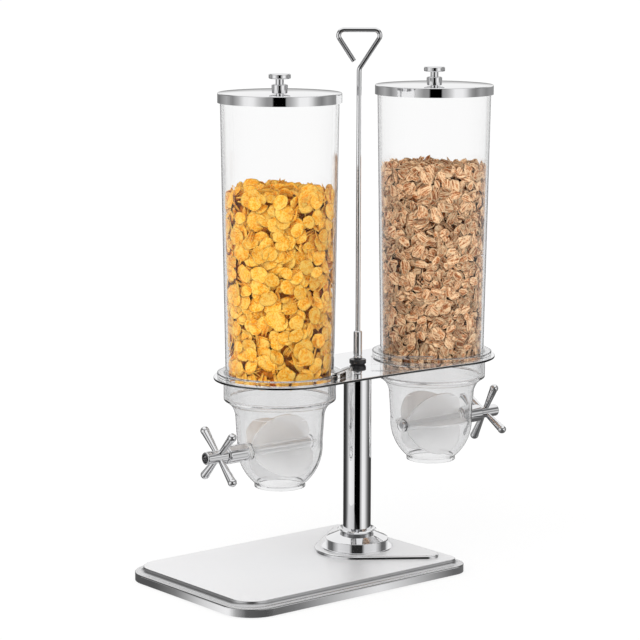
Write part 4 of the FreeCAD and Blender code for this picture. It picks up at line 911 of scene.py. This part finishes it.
class DISPENSER_OT_corn_flakes(bpy.types.Operator):
    """Corn flakes in the left tube"""

    bl_idname = "dispenser.corn_flakes"
    bl_label = "Fill in corn flakes"

    def execute(self, context):
        settings = context.scene.dispenser_food
        container, heap = filled(
            "left", settings.corn_size, width_share=0.93, thickness=1.1, seed=11,
            tries=settings.corn_tries, passes=CORN_PASSES,
        )
        colours = (settings.corn_colour, settings.corn_light, settings.corn_dark)
        # the core colour is painted shade, darker than the flakes
        material = flake_material(
            "corn_flake", colours, core_shade_colour=(0.42, 0.13, 0.006), grain=0.0019, ribs=None,
            darkest=0.8, fade=0.9,
        )
        core = core_mesh(container, inset=7.0, seed=5)
        chosen = range(len(heap.centres))
        piece = flake_piece(
            "corn_flakes", container, heap, chosen, corn_shape, seed=3, segments=14, core=core
        )
        piece.data.materials.append(material)
        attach(piece, "hopper_left")
        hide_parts("cereal_left")
        print(f"corn flakes: {len(heap.centres)}")
        return {"FINISHED"}


class DISPENSER_OT_wheat_flakes(bpy.types.Operator):
    """Wheat flakes in the right tube"""

    bl_idname = "dispenser.wheat_flakes"
    bl_label = "Fill in wheat flakes"

    def execute(self, context):
        settings = context.scene.dispenser_food
        container, heap = filled(
            "right", settings.wheat_size, width_share=0.72, thickness=0.75, seed=23,
            tries=settings.wheat_tries, passes=WHEAT_PASSES,
        )
        colours = (settings.wheat_colour, settings.wheat_light, settings.wheat_dark)
        # the core colour is painted shade, darker than the flakes
        material = flake_material(
            "wheat_flake", colours, core_shade_colour=(0.24, 0.085, 0.024), grain=0.0013, ribs=0.0022,
            darkest=0.5, fade=0.2,
        )
        above = heap.centres[:, 2] > np.median(heap.centres[:, 2])
        layers = (
            ("wheat_flakes_lower", np.nonzero(~above)[0], None),
            ("wheat_flakes_upper", np.nonzero(above)[0], core_mesh(container, inset=6.0, seed=6)),
        )
        for name, chosen, core in layers:
            piece = flake_piece(
                name, container, heap, chosen, wheat_shape, seed=4, segments=12, core=core
            )
            piece.data.materials.append(material)
            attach(piece, "hopper_right")
            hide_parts("cereal_right")
        print(f"wheat flakes: {len(heap.centres)}")
        return {"FINISHED"}


# ---------------------------- studio


def floor_material():
    """White floor: it shows white to the camera and keeps a soft shadow."""
    material, tree, matt = fresh_material("studio_floor", "ShaderNodeBsdfDiffuse")
    feed_all(tree, matt, Color=(0.92, 0.92, 0.92))
    white = add_node(tree, "ShaderNodeEmission", Color=WHITE, Strength=1.0)
    clear = tree.nodes.new("ShaderNodeBsdfTransparent")
    seen = product(tree, light_path(tree, "Is Camera Ray"), FLOOR_SEEN)
    through = product(tree, light_path(tree, "Is Transmission Ray"), FLOOR_THROUGH)
    lit = mix_shaders(tree, arithmetic(tree, "MAXIMUM", seen, through), matt, white)
    show(tree, mix_shaders(tree, light_path(tree, "Is Glossy Ray"), lit, clear))
    return material


# what chrome mirrors at each height, going round: 0.5 lies behind the camera, 0 and 1 beyond
# the dispenser
TABLE_LEVEL = [
    (0.0, 0.14), (0.1, 0.1), (0.185, 0.1), (0.204, 0.24), (0.228, 0.77), (0.247, 1.0), (0.29, 0.96),
    (0.352, 0.43), (0.44, 0.12), (0.6, 0.09), (0.655, 0.12), (0.679, 0.215), (0.709, 0.61),
    (0.733, 0.89), (0.759, 0.53), (0.785, 0.15), (0.9, 0.16), (1.0, 0.22),
]
COLUMN_LEVEL = [
    (0.0, 0.05), (0.164, 0.036), (0.2065, 0.08), (0.242, 0.245), (0.274, 0.55), (0.303, 0.96),
    (0.331, 1.0), (0.382, 0.95), (0.406, 0.9), (0.43, 0.85), (0.436, 0.0), (0.564, 0.0),
    (0.57, 0.45), (0.594, 0.56), (0.618, 1.0), (0.669, 0.98), (0.697, 0.8), (0.726, 0.46),
    (0.758, 0.232), (0.7935, 0.1), (0.836, 0.05), (1.0, 0.05),
]
LID_LEVEL = [
    (0.0, 0.3), (0.09, 0.2), (0.183, 0.45), (0.235, 0.27), (0.275, 0.52), (0.312, 0.93),
    (0.345, 1.0), (0.365, 0.95), (0.388, 0.7), (0.405, 0.55), (0.42, 0.43), (0.436, 0.32),
    (0.466, 0.31), (0.47, 0.0), (0.532, 0.0), (0.536, 0.34), (0.559, 0.46), (0.575, 0.6),
    (0.59, 0.78), (0.607, 1.0), (0.65, 1.0), (0.674, 0.78), (0.692, 0.5), (0.711, 0.33),
    (0.735, 0.24), (0.775, 0.4), (0.827, 0.28), (0.87, 0.33), (1.0, 0.3),
]
WALL_LEVEL = [
    (0.0, 0.97), (0.09, 0.95), (0.14, 0.2), (0.21, 0.15), (0.3, 0.95), (0.42, 0.8), (0.45, 0.03),
    (0.55, 0.03), (0.58, 0.8), (0.7, 0.95), (0.79, 0.15), (0.86, 0.2), (0.91, 0.95), (1.0, 0.97),
]
# each takes over from the one before between two heights: 0 is straight below, 1 straight above
HIGHER_LEVELS = (
    (COLUMN_LEVEL, 0.3715, 0.3755), (LID_LEVEL, 0.445, 0.455), (WALL_LEVEL, 0.51, 0.56)
)


def studio_world(light, camera_heading):
    """White to the camera and through glass; mirrors see bright walls with dark gaps between."""
    world = bpy.data.worlds.new("studio")
    bpy.context.scene.world = world
    world.use_nodes = True
    tree = world.node_tree
    tree.nodes.clear()
    tree.nodes.new("ShaderNodeOutputWorld")
    direction = split(tree, tree.nodes.new("ShaderNodeTexCoord").outputs["Generated"])
    heading = arithmetic(tree, "ARCTAN2", direction["Y"], direction["X"])
    turns = arithmetic(tree, "DIVIDE", heading, math.tau)
    turns = arithmetic(tree, "SUBTRACT", turns, camera_heading / 360.0)
    turns = arithmetic(tree, "FRACT", arithmetic(tree, "ADD", turns, 2.0))
    height = arithmetic(tree, "ADD", product(tree, direction["Z"], 0.5), 0.5)
    walls = ramp(tree, turns, TABLE_LEVEL)
    for level, first, last in HIGHER_LEVELS:
        share = ramp(tree, height, [(first, 0.0), (last, 1.0)])
        walls = blend_colours(tree, share, walls, ramp(tree, turns, level))
    gap = ramp(tree, height, [(0.64, 0.0), (0.68, 0.9), (0.8, 0.9), (0.86, 0.0)])
    near = ramp(tree, turns, [(0.1, 0.0), (0.2, 1.0), (0.8, 1.0), (0.9, 0.0)])
    ceiling = ramp(tree, height, [(0.79, 0.0), (0.86, 1.0)])
    below = ramp(tree, height, [(0.1, 0.9), (0.32, 0.0)])
    for share, grey in ((product(tree, gap, near), 0.12), (ceiling, 0.97), (below, 0.1)):
        walls = blend_colours(tree, share, walls, (grey,) * 3)
    mirror, white, soft = (
        add_node(tree, "ShaderNodeBackground", Color=colour, Strength=strength)
        for colour, strength in ((walls, 1.0), (WHITE, 1.0), (WHITE, light))
    )
    lit = mix_shaders(tree, light_path(tree, "Is Glossy Ray"), soft, mirror)
    rays = [light_path(tree, ray) for ray in ("Is Camera Ray", "Is Transmission Ray")]
    show(tree, mix_shaders(tree, arithmetic(tree, "MAXIMUM", *rays), lit, white), "OUTPUT_WORLD")


def soft_light(name, place, spread, strength):
    """A far lamp, as wide as its spread in degrees, that shines from a place to the middle."""
    lamp = bpy.data.lights.new(name, "SUN")
    lamp.energy = strength
    lamp.angle = math.radians(spread)
    holder = bpy.data.objects.new(name, lamp)
    holder.location = place
    holder.rotation_euler = (-Vector(place)).to_track_quat("-Z", "Y").to_euler()
    holder.visible_glossy = False
    holder.visible_transmission = False
    bpy.context.scene.collection.objects.link(holder)


class DISPENSER_OT_studio(bpy.types.Operator):
    """Floor, background, lamps and camera"""

    bl_idname = "dispenser.studio"
    bl_label = "Set up the studio"

    def execute(self, context):
        settings = context.scene.dispenser_studio
        mesh = bpy.data.meshes.new("studio_floor")
        shape = bmesh.new()
        bmesh.ops.create_grid(shape, x_segments=1, y_segments=1, size=settings.floor_size)
        shape.to_mesh(mesh)
        shape.free()
        floor = bpy.data.objects.new("studio_floor", mesh)
        floor.location.z = -FLOOR_DROP
        mesh.materials.append(floor_material())
        context.scene.collection.objects.link(floor)
        studio_world(settings.world_light, settings.yaw)
        soft_light("key_light", (-2.4, -0.9, 2.3), spread=60.0, strength=settings.key_light)
        yaw, pitch, roll = (
            math.radians(angle) for angle in (settings.yaw, settings.pitch, settings.roll)
        )
        forward = Vector(
            (math.cos(pitch) * math.cos(yaw), math.cos(pitch) * math.sin(yaw), -math.sin(pitch))
        )
        right = Vector((math.sin(yaw), -math.cos(yaw), 0.0))
        up = right.cross(forward)
        across = right * math.cos(roll) + up * math.sin(roll)
        upward = up * math.cos(roll) - right * math.sin(roll)
        data = bpy.data.cameras.new("camera")
        data.lens = settings.lens
        data.sensor_width = 36.0
        data.clip_end = 200.0
        camera = bpy.data.objects.new("camera", data)
        turn = Matrix((across, upward, -forward)).transposed().to_4x4()
        camera.matrix_world = Matrix.Translation(settings.camera_place) @ turn
        context.scene.collection.objects.link(camera)
        context.scene.camera = camera
        context.scene.view_settings.view_transform = "Standard"
        return {"FINISHED"}


# ---------------------------- add-on


STEPS = (
    DISPENSER_OT_metals,
    DISPENSER_OT_plastics,
    DISPENSER_OT_corn_flakes,
    DISPENSER_OT_wheat_flakes,
    DISPENSER_OT_studio,
)


class DISPENSER_PT_panel(bpy.types.Panel):
    """Lists the settings and the steps"""

    bl_label = "Food dispenser"
    bl_idname = "DISPENSER_PT_panel"
    bl_space_type = "VIEW_3D"
    bl_region_type = "UI"
    bl_category = "Dispenser"

    def draw(self, context):
        for step in STEPS:
            self.layout.operator(step.bl_idname)
        for group in SETTINGS:
            box = self.layout.box()
            settings = getattr(context.scene, f"dispenser_{group}")
            for name in settings.__annotations__:
                box.prop(settings, name)


CLASSES = (*SETTINGS.values(), *STEPS, DISPENSER_PT_panel)


def register():
    for item in CLASSES:
        bpy.utils.register_class(item)
    for group, kind in SETTINGS.items():
        setattr(bpy.types.Scene, f"dispenser_{group}", PointerProperty(type=kind))


def unregister():
    for group in SETTINGS:
        delattr(bpy.types.Scene, f"dispenser_{group}")
    for item in reversed(CLASSES):
        bpy.utils.unregister_class(item)


def main():
    register()
    for step in STEPS:
        group, name = step.bl_idname.split(".")
        getattr(getattr(bpy.ops, group), name)()


if __name__ == "__main__":
    main()
